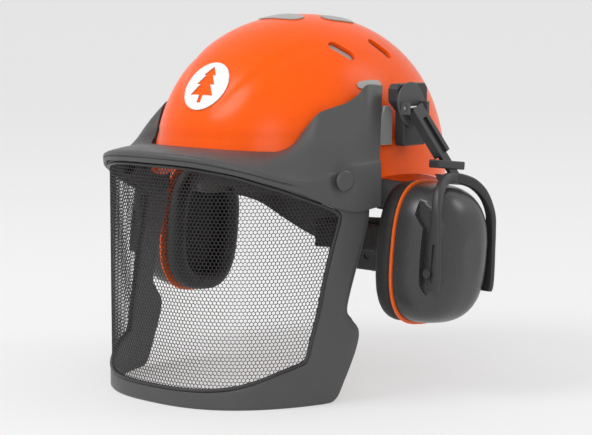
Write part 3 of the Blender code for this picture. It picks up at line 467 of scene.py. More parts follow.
skin.thickness, skin.offset = 0.0007, 0
settle(front_print)
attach(front_print, "helmet")
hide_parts("front_mark")
finish_with(front_print, white_print)

# ------------------------------------------------------------------ vent inserts and reflective patches
# Pale moulded floors with a flange close each vent from inside. The patches on the crown and above the
# wings are glass-bead film, which shows a fine honeycomb of sealed cells.

bead_film = moulded("bead_film", (0.36, 0.35, 0.33), 0.34, grain=700, relief=0.02, shift=0.05)
cells = bead_film.node_tree.nodes.new("ShaderNodeTexVoronoi")
cells.feature = "DISTANCE_TO_EDGE"
cells.inputs["Scale"].default_value = 480
cells.inputs["Randomness"].default_value = 0.25
film_shader = bead_film.node_tree.nodes["Principled BSDF"]
film_place = bead_film.node_tree.nodes.new("ShaderNodeTexCoord")
film_edge = bead_film.node_tree.nodes.new("ShaderNodeBump")
film_edge.inputs["Strength"].default_value = 0.25
film_edge.inputs["Distance"].default_value = 0.0003
bead_film.node_tree.links.new(film_place.outputs["Object"], cells.inputs["Vector"])
bead_film.node_tree.links.new(cells.outputs["Distance"], film_edge.inputs["Height"])
bead_film.node_tree.links.new(film_edge.outputs["Normal"], film_shader.inputs["Normal"])
for name, node in nodes.items():
    if name.startswith("reflector"):
        finish_with(soften(node, 0.25, 2), bead_film)
for side, sign in SIDES:
    for place, (centre, long_way) in zip(("front", "rear"), VENTS, strict=True):
        p, ax, ay, n = shell_spot(centre, long_way)
        # Long and wide measures of the flange and the raised floor, with their height off the shell.
        sizes = ((26.4, 12.4, -6.4), (26.4, 12.4, -5.0), (22.6, 8.6, -4.6), (22.6, 8.6, -3.6))
        layers = []
        for long, wide, high in sizes:
            flat = slot_outline(long, wide)
            layers.append(p + flat[:, :1] * ax + flat[:, 1:] * ay + n * high)
        grille = part(f"vent_floor_{place}_{side}", *joined(layers), mirror=sign)
        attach(grille, "helmet")
        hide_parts(f"vent_insert_{place}_{side}")
        finish_with(soften(grille, 0.2, 2), bead_film)

# ------------------------------------------------------------------ visor carrier
# The peak and its two wings are one satin grey moulding. Its lip carries a fine groove, and a shallow dish
# is sunk round each snap button.

VISOR_HALF, VISOR_BACK, VISOR_ROUND = (118.6, 208.0), 28.0, 2.6
FLOOR_Z = -152.0
grey_satin = moulded("grey_satin", (0.062, 0.062, 0.063), 0.42, grain=1500, relief=0.06, shift=0.05)
grey_light = moulded("grey_light", (0.27, 0.27, 0.272), 0.42, grain=1500, relief=0.06, shift=0.05)
black_satin = moulded("black_satin", (0.027, 0.027, 0.029), 0.4, grain=1300, relief=0.07, shift=0.1)


def visor_point(theta, z, grow=0.0):
    """A point of the visor's curved sheet: theta in degrees from the front."""
    theta, z, grow = np.broadcast_arrays(np.asarray(theta, float), z, grow)
    s, c = np.sin(np.radians(theta)), np.cos(np.radians(theta))
    k = (np.abs(s) ** VISOR_ROUND + np.abs(c) ** VISOR_ROUND) ** (-1 / VISOR_ROUND)
    return np.stack([(VISOR_HALF[0] + grow) * s * k, VISOR_BACK - (VISOR_HALF[1] + grow) * c * k, z], -1)


LIP_LOW = [
    (0, 34.3), (12, 34.1), (22.6, 32.6), (30, 29.7), (37.5, 24.8), (44, 18.8), (50, 12.4), (58.4, 0.3),
    (63, -4.0), (70.5, -2.0),
]
LIP_HIGH = [(0, 8), (38, 8), (46, 9), (52, 13), (57, 24), (62, 35), (70.5, 36)]
EDGE = [
    (0, (0, None, 43.5)), (8, (15, None, 43.5)), (15, (29, None, 43.2)), (24, (46, None, 42.6)),
    (33, (61, None, 42.0)), (40, (71, None, 42.5)), (45.5, (76.5, -99.0, 48.0)), (50, (81.0, -91.0, 59.0)),
    (54, (86.0, -81.0, 70.5)), (58, (90.0, -69.0, 74.5)), (62, (93.5, -55.0, 78.5)), (65, (95.5, -44.5, 84.5)),
    (67.5, (96.8, -36.5, 91.0)), (70.5, (98.8, -19.5, 90.0)),
]
SHELL_CLEAR = 3.5
edge_knots = []
for theta, (x, y, z) in EDGE:
    if y is None:
        part_across = (abs(x) / (SHELL_HALF[0] + SHELL_CLEAR)) ** PLAN_ROUND
        reach = max(shell_round(z, SHELL_CLEAR) ** PLAN_ROUND - part_across, 0) ** (1 / PLAN_ROUND)
        y = SHELL_BACK - (SHELL_HALF[1] + SHELL_CLEAR) * reach
    edge_knots.append((theta, np.array([x, y, z])))
BUTTON = visor_point(60.6, 20.5, 3.4)
half_carrier = []
for theta in np.concatenate([np.linspace(0, 40, 33), np.linspace(40, 70.5, 62)[1:]]):
    low, edge = spline(theta, LIP_LOW)[0], spline(theta, edge_knots).reshape(3)
    high = low + spline(theta, LIP_HIGH)[0]
    lip = []
    for share in (0, 0.05, 0.12, 0.25, 0.38, 0.43, 0.48, 0.53, 0.6, 0.72, 0.82, 0.9, 0.95, 0.98):
        stand = 3.2 + 0.4 * math.sin(math.pi * share) - 1.1 * ease(share, 0.86, 1.0)
        stand -= 0.8 * (1 - ease(abs(share - 0.455), 0.02, 0.06)) * (1 - ease(theta, 46, 54))
        lip.append(visor_point(theta, low + (high - low) * share, stand))
    crest = visor_point(theta, high + 0.4, 1.2)
    inward = edge - crest
    bulge = np.cross(np.cross(inward, (0, 0, 1)), inward)
    bulge = bulge / max(np.linalg.norm(bulge), 1e-9) * (1 if bulge[2] >= 0 else -1)
    swell = 1.5 + 2.0 * ease(theta, 38, 46)
    top = [crest + inward * s + bulge * swell * math.sin(math.pi * s) for s in np.linspace(0, 1, 17)]
    half_carrier.append(lip + top)
half_carrier = np.array(half_carrier)
carrier = np.concatenate([half_carrier[:0:-1] * np.array([-1, 1, 1]), half_carrier])
facing = outward(carrier)
if facing[len(carrier) // 2, 1, 1] > 0:
    facing = -facing
for sign in (1, -1):
    away = np.linalg.norm(carrier - BUTTON * np.array([sign, 1, 1]), axis=-1)
    carrier = carrier - facing * (1.3 * (1 - ease(away, 9.5, 14.0)))[..., None]
carrier_skin = part("carrier_skin", *between(carrier, carrier - facing * 2.5))
soften(carrier_skin, 0.7, angle=55)
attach(carrier_skin, "visor")
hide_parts("visor_carrier")
finish_with(carrier_skin, grey_satin)

# ------------------------------------------------------------------ visor frame
# A stiff grey frame round the mesh, moulded in one with its two side arms and chin bar. A soft chamfer
# runs along its outer edge and a step takes the bead along its inner edge.

OPENING = [
    (0, 33.4), (7, 33.4), (14, 33.0), (21, 31.8), (28, 29.3), (34, 26.3), (40, 21.3), (46, 15.5),
    (52, 8.0), (58, 0.0),
    (60.2, -5), (60.3, -12), (58.4, -34), (56.6, -58), (55.2, -80), (53.4, -102), (52.6, -113), (51.4, -118.6),
    (48.8, -121.8), (45.2, -125.4), (41.5, -129.5), (37, -133.5), (31.5, -136.6), (23, -138.6), (12, -139.2),
    (0, -139.3),
]
OUTLINE = [
    (0, 37), (7, 37), (14, 36.6), (21, 35.3), (28, 32.8), (34, 29.8), (40, 24.8), (46, 19), (52, 14), (56, 22),
    (60, 27.0), (64, 26.5), (67, 17), (68, -9), (65, -44), (62.2, -78), (63.4, -88), (65.3, -98),
    (64.6, -112), (61.6, -135), (59.3, -149), (56, FLOOR_Z), (46, FLOOR_Z), (36, FLOOR_Z), (18, FLOOR_Z),
    (0, FLOOR_Z),
]
STEPS = 8
SHEET_RADIUS = 165.0


def border(half):
    index = np.arange(0, len(half) - 1 + 0.5 / STEPS, 1 / STEPS)
    half = [tuple(p) for p in spline(index, [(i, p) for i, p in enumerate(half)])]
    loop = np.array(half + [(-a, b) for a, b in half[-2:0:-1]])
    loop[:, 1] = np.maximum(loop[:, 1], FLOOR_Z)
    return loop


def drawn_in(loop, by):
    """A border moved inwards by a distance in mm, measured on the sheet."""
    flat = np.stack([np.radians(loop[:, 0]) * SHEET_RADIUS, loop[:, 1]], 1)
    along = np.roll(flat, -1, 0) - np.roll(flat, 1, 0)
    along /= np.linalg.norm(along, axis=1, keepdims=True)
    inward = np.stack([along[:, 1], -along[:, 0]], 1)
    if ((flat.mean(0) - flat) * inward).sum() < 0:
        inward = -inward
    moved = flat + inward * by
    return np.stack([np.degrees(moved[:, 0] / SHEET_RADIUS), moved[:, 1]], 1)


def border_strip(first, second, profile):
    """A strip between two borders, its profile given as (share across, top, bottom) off the sheet."""
    flat = np.stack([first * (1 - s) + second * s for s, _, _ in profile], 1)
    tops, floors = np.array([t for _, t, _ in profile]), np.array([b for _, _, b in profile])
    upper = visor_point(flat[..., 0], flat[..., 1], tops[None, :])
    return between(upper, visor_point(flat[..., 0], flat[..., 1], floors[None, :]), wrap=True)


opening, outline = border(OPENING), border(OUTLINE)
frame_profile = [
    (0, -0.9, -2.6), (0.03, -0.4, -2.9), (0.1, 0.0, -3.0), (0.3, 0.0, -3.0), (0.5, 0.0, -3.0), (0.7, 0.0, -3.0),
    (0.84, 0.0, -3.0), (0.88, -0.1, -3.0), (0.96, -0.75, -3.0), (1.0, -1.3, -2.8),
]
frame_skin = part("frame_skin", *border_strip(opening, outline, frame_profile))
soften(frame_skin, 0.35, 2, angle=50)
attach(frame_skin, "visor")
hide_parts("visor_frame")
finish_with(frame_skin, grey_satin)

bead_profile = [
    (0, -0.6, -2.2), (0.12, 0.1, -2.8), (0.35, 0.4, -3.0), (0.65, 0.4, -3.0), (0.88, 0.1, -2.8),
    (1.0, -0.6, -2.2),
]
bead_skin = part("bead_skin", *border_strip(drawn_in(opening, 0.1), drawn_in(opening, 2.6), bead_profile))
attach(bead_skin, "visor")
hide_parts("mesh_bead")
finish_with(bead_skin, black_satin)

# ------------------------------------------------------------------ mesh screen
# A thin steel sheet etched into a net of hexagonal holes and powder coated black. Every hole is real: the
# net is laid out flat, then bent round the visor.

HOLE_PITCH = 3.1
WIRE = 0.46
SHEET_BACK, SHEET_THICK = -1.5, 0.45
arc_theta = np.linspace(-66, 66, 2641)
arc_line = visor_point(arc_theta, 0.0, SHEET_BACK)
arc_length = np.concatenate([[0], np.cumsum(np.linalg.norm(np.diff(arc_line, axis=0), axis=1))])
arc_length -= arc_length[len(arc_length) // 2]
edge_loop = drawn_in(opening, 1.0)
edge_flat = np.stack([np.interp(edge_loop[:, 0], arc_theta, arc_length), edge_loop[:, 1]], 1)


def within(points, loop):
    """Which points lie inside a closed flat loop."""
    inside = np.zeros(len(points), bool)
    for a, b in zip(loop, np.roll(loop, -1, 0), strict=True):
        crosses = (a[1] > points[:, 1]) != (b[1] > points[:, 1])
        rise = b[1] - a[1] if abs(b[1] - a[1]) > 1e-9 else 1e-9
        inside ^= crosses & (points[:, 0] < a[0] + (points[:, 1] - a[1]) * (b[0] - a[0]) / rise)
    return inside


row_step = HOLE_PITCH * math.sqrt(3) / 2
cell_at = []
for j in range(-90, 30):
    for i in range(-64, 65):
        cell_at.append((i, j, (i + (j % 2) / 2) * HOLE_PITCH, j * row_step))
cell_at = np.array(cell_at)
cell_at = cell_at[within(cell_at[:, 2:], edge_flat)]
centres = cell_at[:, 2:]
corner_angle = np.radians(30 + 60 * np.arange(6))
hole = (HOLE_PITCH - WIRE) / math.sqrt(3) * np.stack([np.cos(corner_angle), np.sin(corner_angle)], 1)
hole_points = (centres[:, None, :] + hole[None]).reshape(-1, 2)
index_of = {(int(i), int(j)): k for k, (i, j) in enumerate(cell_at[:, :2])}
net_faces = []


def neighbour(i, j, way):
    """The cell across side `way` of a hexagon, counted anticlockwise from the right."""
    odd = j % 2
    return [
        (i + 1, j), (i + odd, j + 1), (i - 1 + odd, j + 1), (i - 1, j), (i - 1 + odd, j - 1), (i + odd, j - 1),
    ][way]


# Side `way` of a cell runs from corner way - 1 to corner way, because the first corner stands at 30 degrees.
for (i, j), k in index_of.items():
    for way in (0, 1, 2):
        other = index_of.get(neighbour(i, j, way))
        if other is None:
            continue
        back = (way + 3) % 6
        net_faces.append((k * 6 + (way - 1) % 6, other * 6 + back, other * 6 + (back - 1) % 6, k * 6 + way))
    for way in (0, 1):
        first, second = index_of.get(neighbour(i, j, way)), index_of.get(neighbour(i, j, way + 1))
        if first is not None and second is not None:
            net_faces.append((k * 6 + way, first * 6 + (way + 2) % 6, second * 6 + (way + 4) % 6))
theta_at = np.interp(hole_points[:, 0], arc_length, arc_theta)
used = sorted({c for f in net_faces for c in f})
renumber = {c: n for n, c in enumerate(used)}
net_points = visor_point(theta_at[used], hole_points[used, 1], SHEET_BACK)
wire_net = part("wire_net", net_points, [[renumber[c] for c in f] for f in net_faces])
depth = wire_net.modifiers.new("sheet_thickness", "SOLIDIFY")
depth.thickness, depth.offset, depth.use_even_offset = SHEET_THICK * MM, 0, False
settle(wire_net)
wire_net.data.polygons.foreach_set("use_smooth", [False] * len(wire_net.data.polygons))
black_powder = moulded("black_powder", (0.014, 0.014, 0.015), 0.5, grain=2600, relief=0.1, shift=0.1)
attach(wire_net, "visor")
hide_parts("mesh_screen")
finish_with(wire_net, black_powder)

# ------------------------------------------------------------------ visor buttons, latch panels and pivots
# Snap buttons join frame to carrier. A lighter latch panel behind each wing turns on a boss on the shell.

for side, _ in SIDES:
    finish_with(soften(nodes[f"snap_button_{side}"], 0.6), grey_satin)
    finish_with(soften(nodes[f"visor_clip_{side}"], 0.5), grey_light)
    finish_with(soften(nodes[f"visor_pivot_{side}"], 0.4), black_satin)
    finish_with(soften(nodes[f"adapter_{side}"], 1.2, 4), black_satin)

# ------------------------------------------------------------------ muff pivots, arms and collars
# Each muff hangs from a cap that turns in the adapter. A channel-shaped spring arm swings on a steel pin
# between the cap's lugs, and a collar at its foot guides the yoke stem.

steel = moulded("steel_pin", (0.5, 0.5, 0.51), 0.28, grain=1800, relief=0.04, shift=0.04)
steel.node_tree.nodes["Principled BSDF"].inputs["Metallic"].default_value = 1.0
for side, _ in SIDES:
    finish_with(soften(nodes[f"pivot_cap_{side}"], 0.8, 4), grey_satin)
    finish_with(soften(nodes[f"hinge_pin_{side}"], 0.2, 2), steel)
    finish_with(soften(nodes[f"spring_arm_{side}"], 0.7), black_satin)
    finish_with(soften(nodes[f"slide_collar_{side}"], 0.7), black_satin)
    for place in ("front", "rear"):
        finish_with(soften(nodes[f"cup_pin_{place}_{side}"], 0.4), black_satin)

# ------------------------------------------------------------------ yokes
# One moulding of black plastic: a stem that slides in the arm, a plate, and two legs that bow out round
# the cup and end in flat pads over the cup pins.

CUP_CENTRE, CUP_LEAN = (130.0, -3.5, -41.0), math.radians(6.5)
CUP_HALF, CUP_DEPTH, CUP_ROUND = (39.5, 55.2), 46.6, 2.8
ARM_TOP, ARM_END = (126.5, -14.0, 72.0), (144.5, 5.0, 29.0)
LEAN = np.array(
    [
        [1, 0, 0],
        [0, math.cos(CUP_LEAN), math.sin(CUP_LEAN)],
        [0, -math.sin(CUP_LEAN), math.cos(CUP_LEAN)],
    ]
)


def cup_space(points):
    """Points given as (out from the ring, rearward, up) round the cup."""
    return np.asarray(points, float) @ LEAN.T + np.array(CUP_CENTRE)


def oval(half_a, half_b, power=2.0, count=40):
    t = np.linspace(0, 2 * math.pi, count, endpoint=False)
    c, s = np.cos(t), np.sin(t)
    k = (np.abs(c) ** power + np.abs(s) ** power) ** (-1 / power)
    return np.stack([half_a * c * k, half_b * s * k], 1)


def cup_ring(half_u, half_v, out, power=CUP_ROUND, count=112):
    return cup_space(np.column_stack([np.full(count, out), oval(half_u, half_v, power, count)]))


arm_down = np.array(ARM_END) - np.array(ARM_TOP)
arm_length = float(np.linalg.norm(arm_down))
arm_down /= arm_length
arm_wide = np.array([0.0, 1.0, 0.0]) - arm_down * arm_down[1]
arm_wide /= np.linalg.norm(arm_wide)
arm_out = np.cross(arm_wide, arm_down)
arm_out = arm_out if arm_out[0] > 0 else -arm_out


def arm_bar(start, end, wide, low, high):
    corners = ((-wide, low), (wide, low), (wide, high), (-wide, high))
    ends = []
    for t in (start, end):
        middle = np.array(ARM_TOP) + arm_down * t
        ends.append([middle + arm_wide * a + arm_out * b for a, b in corners])
    return joined(ends)


def leg_bar(path, count=28):
    """A leg through (centre, half size out, half size rearward) stations, drawn as one smooth bar."""
    ends = np.arange(len(path))
    fine = np.linspace(0, len(path) - 1, 8 * (len(path) - 1) + 1)
    centres = spline(fine, [(i, p[0]) for i, p in zip(ends, path, strict=True)])
    sizes = spline(fine, [(i, (p[1], p[2])) for i, p in zip(ends, path, strict=True)])
    along = np.gradient(centres, axis=0)
    sections = []
    for centre, (half_w, half_u), d in zip(centres, sizes, along, strict=True):
        d = d / np.linalg.norm(d)
        wide = np.array([1.0, 0, 0]) - d * d[0]
        wide /= np.linalg.norm(wide)
        shape = oval(half_w, half_u, 4.0, count)
        section = centre + np.outer(shape[:, 0], wide) + np.outer(shape[:, 1], np.cross(d, wide))
        sections.append(cup_space(section))
    return joined(sections)


def together(obj, *others):
    """Fuses pieces of one moulding into the first."""
    for other in others:
        step = obj.modifiers.new("fuse", "BOOLEAN")
        step.solver, step.operation, step.object = "EXACT", "UNION", other
        settle(obj)
        bpy.data.objects.remove(other, do_unlink=True)
    return obj


FRONT_LEG = [
    ((21.5, 2, 60), 3.0, 4.2), ((23.5, -8, 59.8), 3.0, 4.2), ((27.5, -19.5, 56.5), 3.0, 4.2),
    ((31.5, -29.3, 48), 3.2, 3.8), ((34.8, -35.0, 34), 3.8, 2.8), ((35.6, -35.4, 20), 4.8, 2.5),
    ((36, -35.2, 6), 5.4, 2.4), ((37, -34.8, -10), 5.6, 2.4), ((37.2, -34.6, -22), 5.6, 2.4),
    ((37.2, -34.6, -27), 4.4, 2.2),
]
REAR_LEG = [((w, -u + 4.0 if u > 0 else -u, v), a, b) for (w, u, v), a, b in FRONT_LEG]
for side, sign in SIDES:
    plate = joined(
        [
            cup_space([(o + 2.9, -15, v), (o + 2.9, 17, v), (o - 2.9, 17, v), (o - 2.9, -15, v)])
            for o, v in ((17.9, 62.5), (22.6, 55.2))
        ]
    )
    fork = part(f"fork_{side}", *leg_bar(FRONT_LEG), mirror=sign)
    together(
        fork,
        part("fork_rear", *leg_bar(REAR_LEG), mirror=sign),
        part("fork_plate", *plate, mirror=sign),
        part("fork_stem", *arm_bar(10, arm_length + 16, 4.5, -1.0, 2.2), mirror=sign),
    )
    # A long blind groove in each leg pad, as the moulding has.
    grooves = []
    for toward in (-1, 1):
        groove = slot_outline(30, 3.4, 24)
        layers = [cup_space([(37.0 + b, toward * u, -6.0 + a) for a, b in groove]) for u in (36.2, 40.5)]
        grooves.append(part("groove_tool", *joined(layers), mirror=sign))
    cut(fork, *grooves)
    soften(fork, 0.45, 3, angle=45)
    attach(fork, f"yoke_{side}")
    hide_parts(f"yoke_{side}")
    finish_with(fork, black_satin)

# ------------------------------------------------------------------ ear cups and trim rings
# Each cup is a deep hollow shell of semi-gloss grey plastic with a flat seat for each leg of the yoke. A
# bright orange ring shows between the cup and its cushion.

cup_grey = moulded("cup_grey", (0.04, 0.04, 0.042), 0.27, grain=1700, relief=0.05, shift=0.05)
ring_orange = moulded("ring_orange", (0.82, 0.12, 0.004), 0.45, grain=1200, relief=0.04, shift=0.04)
cup_levels = np.concatenate([np.linspace(0, 0.8, 15), [0.86, 0.91, 0.945, 0.97, 0.985, 0.994]])


def cup_dome(half, depth):
    rings = []
    for w in cup_levels:
        left = (1 - w**CUP_ROUND) ** (1 / CUP_ROUND)
        rings.append(cup_ring(half[0] * left, half[1] * left, depth * w))
    return rings


for side, sign in SIDES:
    cup = part(f"ear_cup_{side}", *joined(cup_dome(CUP_HALF, CUP_DEPTH)), mirror=sign)
    tools = [part("hollow_tool", *joined([cup_ring(27, 49, -3)] + cup_dome((27.0, 49.0), 42.5)), mirror=sign)]
    for toward in (-1, 1):
        seat_turn = np.linspace(math.pi, 1.5 * math.pi, 13)
        corners = [(37 + 13 * math.cos(t), -21 + 13 * math.sin(t)) for t in seat_turn]
        corners += [(60, -34), (60, 44), (15, 44), (15, 30), (24, 20)]
        layers = [cup_space([(w, u, v) for w, v in corners]) for u in sorted((toward * 31.4, toward * 60))]
        tools.append(part("seat_tool", *joined(layers), mirror=sign))
    cut(cup, *tools)
    soften(cup, 0.8, 4, angle=50)
    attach(cup, f"muff_{side}")
    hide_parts(f"cup_{side}")
    finish_with(cup, cup_grey)

    # The ring is a flat band with a rounded outer edge.
    band = [(-0.4, 40.6), (-0.7, 41.2), (-1.5, 41.4), (-2.3, 41.2), (-2.6, 40.6), (-2.6, 33.0), (-0.4, 33.0)]
    rings = [cup_ring(h, h + 16.0 + (1.0 if h < 34 else 0.0), w) for w, h in band]
    trim = part(f"trim_band_{side}", *joined(rings, closed=True), mirror=sign)
    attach(trim, f"muff_{side}")
    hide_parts(f"trim_ring_{side}")
    finish_with(soften(trim, 0.2, 2, angle=60), ring_orange)

# ------------------------------------------------------------------ cushions and cup foam
# Each cushion is a soft foam ring in a thin black skin, welded to a backing near the ring. It is inflated
# from a smaller ring so that its skin is full and evenly tight. A dimpled foam pad fills the cup's mouth.


def skin_material(name, colour, rough, crease_scale, crease, sheen=0.0):
    """A soft covering: fine pores, faint creases and a slow change of gloss."""
    material = moulded(name, colour, rough, grain=crease_scale, relief=crease, shift=0.12)
    shader = material.node_tree.nodes["Principled BSDF"]
    shader.inputs["Sheen Weight"].default_value = sheen
    shader.inputs["Sheen Roughness"].default_value = 0.4
    pores = material.node_tree.nodes.new("ShaderNodeTexVoronoi")
    pores.inputs["Scale"].default_value = 900
    at = material.node_tree.nodes.new("ShaderNodeTexCoord")
    fine = material.node_tree.nodes.new("ShaderNodeBump")
    fine.inputs["Strength"].default_value = 0.12
    fine.inputs["Distance"].default_value = 0.0003
    links = material.node_tree.links
    before = next(n for n in material.node_tree.nodes if n.type == "BUMP" and n != fine)
    links.new(at.outputs["Object"], pores.inputs["Vector"])
    links.new(pores.outputs["Distance"], fine.inputs["Height"])
    links.new(before.outputs["Normal"], fine.inputs["Normal"])
    links.new(fine.outputs["Normal"], shader.inputs["Normal"])
    return material


cushion_black = skin_material("cushion_black", (0.014, 0.014, 0.015), 0.55, 320, 0.25)
foam_black = skin_material("foam_black", (0.022, 0.022, 0.022), 0.9, 700, 0.9, sheen=0.3)
knit_black = skin_material("knit_black", (0.024, 0.024, 0.025), 0.85, 1100, 0.7, sheen=0.35)


def inflate(obj, voxel, pressure, most):
    """Fills a padded piece with Cloth under pressure, each point moving at most `most` mm."""
    mesh = obj.modifiers.new("even_mesh", "REMESH")
    mesh.mode, mesh.voxel_size = "VOXEL", voxel * MM
    settle(obj)
    before = np.empty(len(obj.data.vertices) * 3, np.float32)
    obj.data.vertices.foreach_get("co", before)
    cloth = obj.modifiers.new("cloth", "CLOTH")
    cloth.settings.use_pressure = True
    cloth.settings.uniform_pressure_force = pressure
    cloth.settings.effector_weights.gravity = 0
    cloth.settings.quality = 6
    cloth.settings.mass = 0.3
    cloth.settings.tension_stiffness = cloth.settings.compression_stiffness = 30
    cloth.collision_settings.use_collision = False
    cloth.point_cache.frame_start, cloth.point_cache.frame_end = 1, 16
    for step in range(1, 17):
        bpy.context.scene.frame_set(step)
    settle(obj)
    bpy.context.scene.frame_set(1)
    after = np.empty(len(before), np.float32)
    obj.data.vertices.foreach_get("co", after)
    move = (after - before).reshape(-1, 3)
    move = np.nan_to_num(move)
    far = np.linalg.norm(move, axis=1, keepdims=True)
    move *= np.minimum(1, most * MM / np.maximum(far, 1e-9))
    obj.data.vertices.foreach_set("co", (before.reshape(-1, 3) + move).astype(np.float32).ravel())
    obj.data.update()
    smooth = obj.modifiers.new("smooth", "SMOOTH")
    smooth.factor, smooth.iterations = 0.5, 4
    finer = obj.modifiers.new("finer", "SUBSURF")
    finer.levels = finer.render_levels = 1
    settle(obj)
    obj.data.polygons.foreach_set("use_smooth", [True] * len(obj.data.polygons))
    return obj


fat = []
for k in range(18):
    a = 2 * math.pi * (k + 0.5) / 18
    out = 7.7 * abs(math.cos(a)) ** 0.8 * math.copysign(1, math.cos(a))
    deep = 8.5 * abs(math.sin(a)) ** 0.8 * math.copysign(1, math.sin(a))
    fat.append(cup_ring(32.4 + out, 48.4 + out, -12.4 + deep, count=96))
left_cushion = inflate(part("ear_cushion_left", *joined(fat, closed=True)), 2.6, 4.0, 1.0)
right_cushion = left_cushion.copy()
right_cushion.data = left_cushion.data.copy()
right_cushion.name = "ear_cushion_right"
bpy.context.scene.collection.objects.link(right_cushion)
for v in right_cushion.data.vertices:
    v.co.x = -v.co.x
right_cushion.data.flip_normals()
for side, cushion in (("left", left_cushion), ("right", right_cushion)):
    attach(cushion, f"muff_{side}")
    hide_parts(f"cushion_{side}")
    finish_with(cushion, cushion_black)
for side, sign in SIDES:
    rings = [
        cup_ring(24.6, 44.9, 1.1), cup_ring(25.9, 46.2, 2.4), cup_ring(25.9, 46.2, 7.6),
        cup_ring(24.6, 44.9, 8.9),
    ]
    foam = part(f"cup_foam_{side}", *joined(rings), mirror=sign)
    soften(foam, 0.8, 3)
    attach(foam, f"muff_{side}")
    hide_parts(f"foam_{side}")
    finish_with(foam, foam_black)

# ------------------------------------------------------------------ headband, sweatband and nape unit
# The band and nape strap are springy black plastic. A knitted foam sweatband lies inside the brow, and a
# soft pad lines the nape strap. A fluted knob behind turns the ratchet.


def strap_grids(stations, thick, columns=9):
    """Inner and outer grids of a band standing on edge, from (x, y, middle z, height) stations."""
    index = np.arange(len(stations))
    fine = np.linspace(0, len(stations) - 1, 4 * (len(stations) - 1) + 1)
    line = spline(fine, [(i, s) for i, s in zip(index, stations, strict=True)])
    along = np.gradient(line[:, :2], axis=0)
    along /= np.linalg.norm(along, axis=1, keepdims=True)
    out = np.stack([along[:, 1], -along[:, 0]], 1)
    rise = np.linspace(-0.5, 0.5, columns)
    inner = np.stack([np.stack([line[:, 0], line[:, 1], line[:, 2] + line[:, 3] * c], 1) for c in rise], 1)
    outer = inner.copy()
    outer[..., :2] += out[:, None] * thick
    return outer, inner


brow = []
for t in np.linspace(0, 180, 33):
    a = math.radians(t)
    brow.append((-84.0 * math.cos(a), -104.0 * math.sin(a), 3 + 21 * math.sin(a) ** 2, 22 + 4 * math.sin(a)))
brow = [(-84.0, 34, 0, 18), (-84.0, 17, 1, 20)] + brow + [(84.0, 17, 1, 20), (84.0, 34, 0, 18)]
nape = []
for t in np.linspace(0, 180, 33):
    a = math.radians(t)
    drop = math.sin(a)
    nape.append((82.0 * math.cos(a), 28 + 50 * drop, -10 - 37 * drop**1.3, 17 + 16 * drop**1.5))
nape = [(80.2, -4, -3, 14), (81.2, 12, -6, 15)] + nape + [(-81.2, 12, -6, 15), (-80.2, -4, -3, 14)]
for name, stations, body, node in (
    ("brow_band", brow, "helmet", "headband"),
    ("nape_band", nape, "nape", "nape_strap"),
):
    band = part(name, *between(*strap_grids(stations, 1.6)))
    soften(band, 0.5, 3, angle=50)
    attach(band, body)
    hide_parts(node)
    finish_with(band, black_satin)

sweat = []
for t in np.linspace(28, 152, 25):
    a = math.radians(t)
    taper = min(1.0, (90 - abs(t - 90) - 28) / 10 + 0.45)
    sweat.append((-79.4 * math.cos(a), -98.4 * math.sin(a), 3 + 21 * math.sin(a) ** 2, 23 * taper))
pad = []
for t in np.linspace(52, 128, 15):
    a = math.radians(t)
    pad.append((79.0 * math.cos(a) * 0.93, 26.9 + 44.5 * math.sin(a), -47.5, 25))
for name, stations, body, node in (
    ("brow_pad", sweat, "helmet", "sweatband"),
    ("nape_cushion", pad, "nape", "nape_pad"),
):
    cushion = inflate(part(name, *between(*strap_grids(stations, 3.0, 5))), 1.6, 2.0, 0.6)
    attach(cushion, body)
    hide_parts(node)
    finish_with(cushion, knit_black)

finish_with(soften(nodes["ratchet_housing"], 0.8), black_satin)
flutes = 22
knob_sections = []
KNOB_PROFILE = (
    (3.0, 81.0), (3.0, 87.4), (13.2, 87.4), (14.6, 88.2), (14.9, 90.5), (14.9, 93.8), (14.2, 95.4),
    (12.6, 96.3),
)
for radius, y in KNOB_PROFILE:
    turn = np.linspace(0, 2 * math.pi, flutes * 8, endpoint=False)
    dip = 0.75 * (0.5 + 0.5 * np.cos(turn * flutes)) if radius > 14 else 0.0
    r = radius - dip
    knob_sections.append(np.stack([r * np.cos(turn), np.full(len(turn), y), -65.0 + r * np.sin(turn)], 1))
knob = part("fluted_knob", *joined(knob_sections))
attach(knob, "knob")
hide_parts("ratchet_knob")
finish_with(soften(knob, 0.3, 2, angle=60), black_satin)

# ------------------------------------------------------------------ cradle straps and hooks
# Three woven polyester straps cross over the head and keep the shell clear of it. Each ends in a plastic
# hook that plugs into the shell.

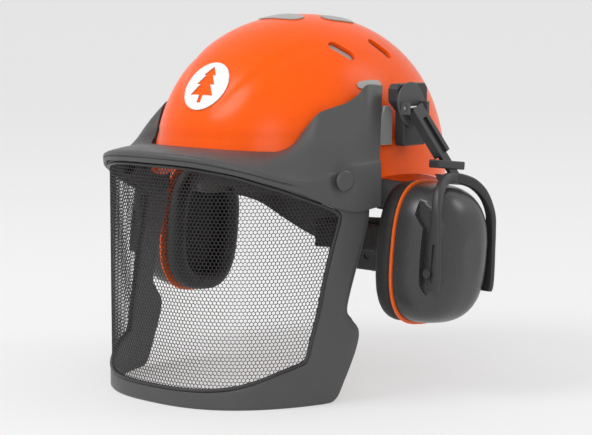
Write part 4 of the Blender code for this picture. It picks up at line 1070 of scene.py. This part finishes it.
webbing = skin_material("webbing", (0.026, 0.026, 0.028), 0.75, 900, 0.4, sheen=0.25)
weave = webbing.node_tree.nodes.new("ShaderNodeTexWave")
weave.inputs["Scale"].default_value = 190
weave.inputs["Distortion"].default_value = 1.2
weave_at = webbing.node_tree.nodes.new("ShaderNodeTexCoord")
weave_bump = webbing.node_tree.nodes.new("ShaderNodeBump")
weave_bump.inputs["Strength"].default_value = 0.5
weave_bump.inputs["Distance"].default_value = 0.0004
webbing_shader = webbing.node_tree.nodes["Principled BSDF"]
webbing.node_tree.links.new(weave_at.outputs["Object"], weave.inputs["Vector"])
webbing.node_tree.links.new(weave.outputs["Fac"], weave_bump.inputs["Height"])
earlier = webbing_shader.inputs["Normal"].links[0].from_socket
webbing.node_tree.links.new(earlier, weave_bump.inputs["Normal"])
webbing.node_tree.links.new(weave_bump.outputs["Normal"], webbing_shader.inputs["Normal"])
STRAP_WIDTH, STRAP_THICK = 19.0, 1.1
for level, (name, degrees) in enumerate((("front", 38.0), ("middle", 90.0), ("rear", 142.0))):
    a = math.radians(degrees)
    d, side_way = np.array([math.sin(a), -math.cos(a)]), np.array([-math.cos(a), -math.sin(a), 0.0])
    reach = 1 / math.hypot(d[0] / 90.0, d[1] / 112.0)
    crown = 106.0 + 2.0 * level
    line = []
    for t in np.linspace(-1, 1, 97):
        s = math.copysign(abs(math.sin(t * math.pi / 2)) ** (2 / 2.2), t)
        line.append([*(d * reach * s), 26.0 + (crown - 26.0) * abs(math.cos(t * math.pi / 2)) ** (2 / 2.2)])
    line = np.array(line)
    run = np.gradient(line, axis=0)
    n = np.cross(run, side_way)
    n /= np.linalg.norm(n, axis=1, keepdims=True)
    n = np.where((n * (line - np.array([0, 0, 40]))).sum(1, keepdims=True) < 0, -n, n)
    across = np.linspace(-STRAP_WIDTH / 2, STRAP_WIDTH / 2, 7)
    lower = np.stack([line + side_way * b for b in across], 1)
    strap = part(f"webbing_{name}", *between(lower + n[:, None] * STRAP_THICK, lower))
    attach(strap, "helmet")
    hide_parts(f"cradle_strap_{name}")
    hooks = [f"strap_hook_{name}_{side}" for side, _ in SIDES]
    finish_with(soften(strap, 0.3, 2, angle=60), webbing)
    for hook in hooks:
        finish_with(soften(nodes[hook], 0.5), black_satin)
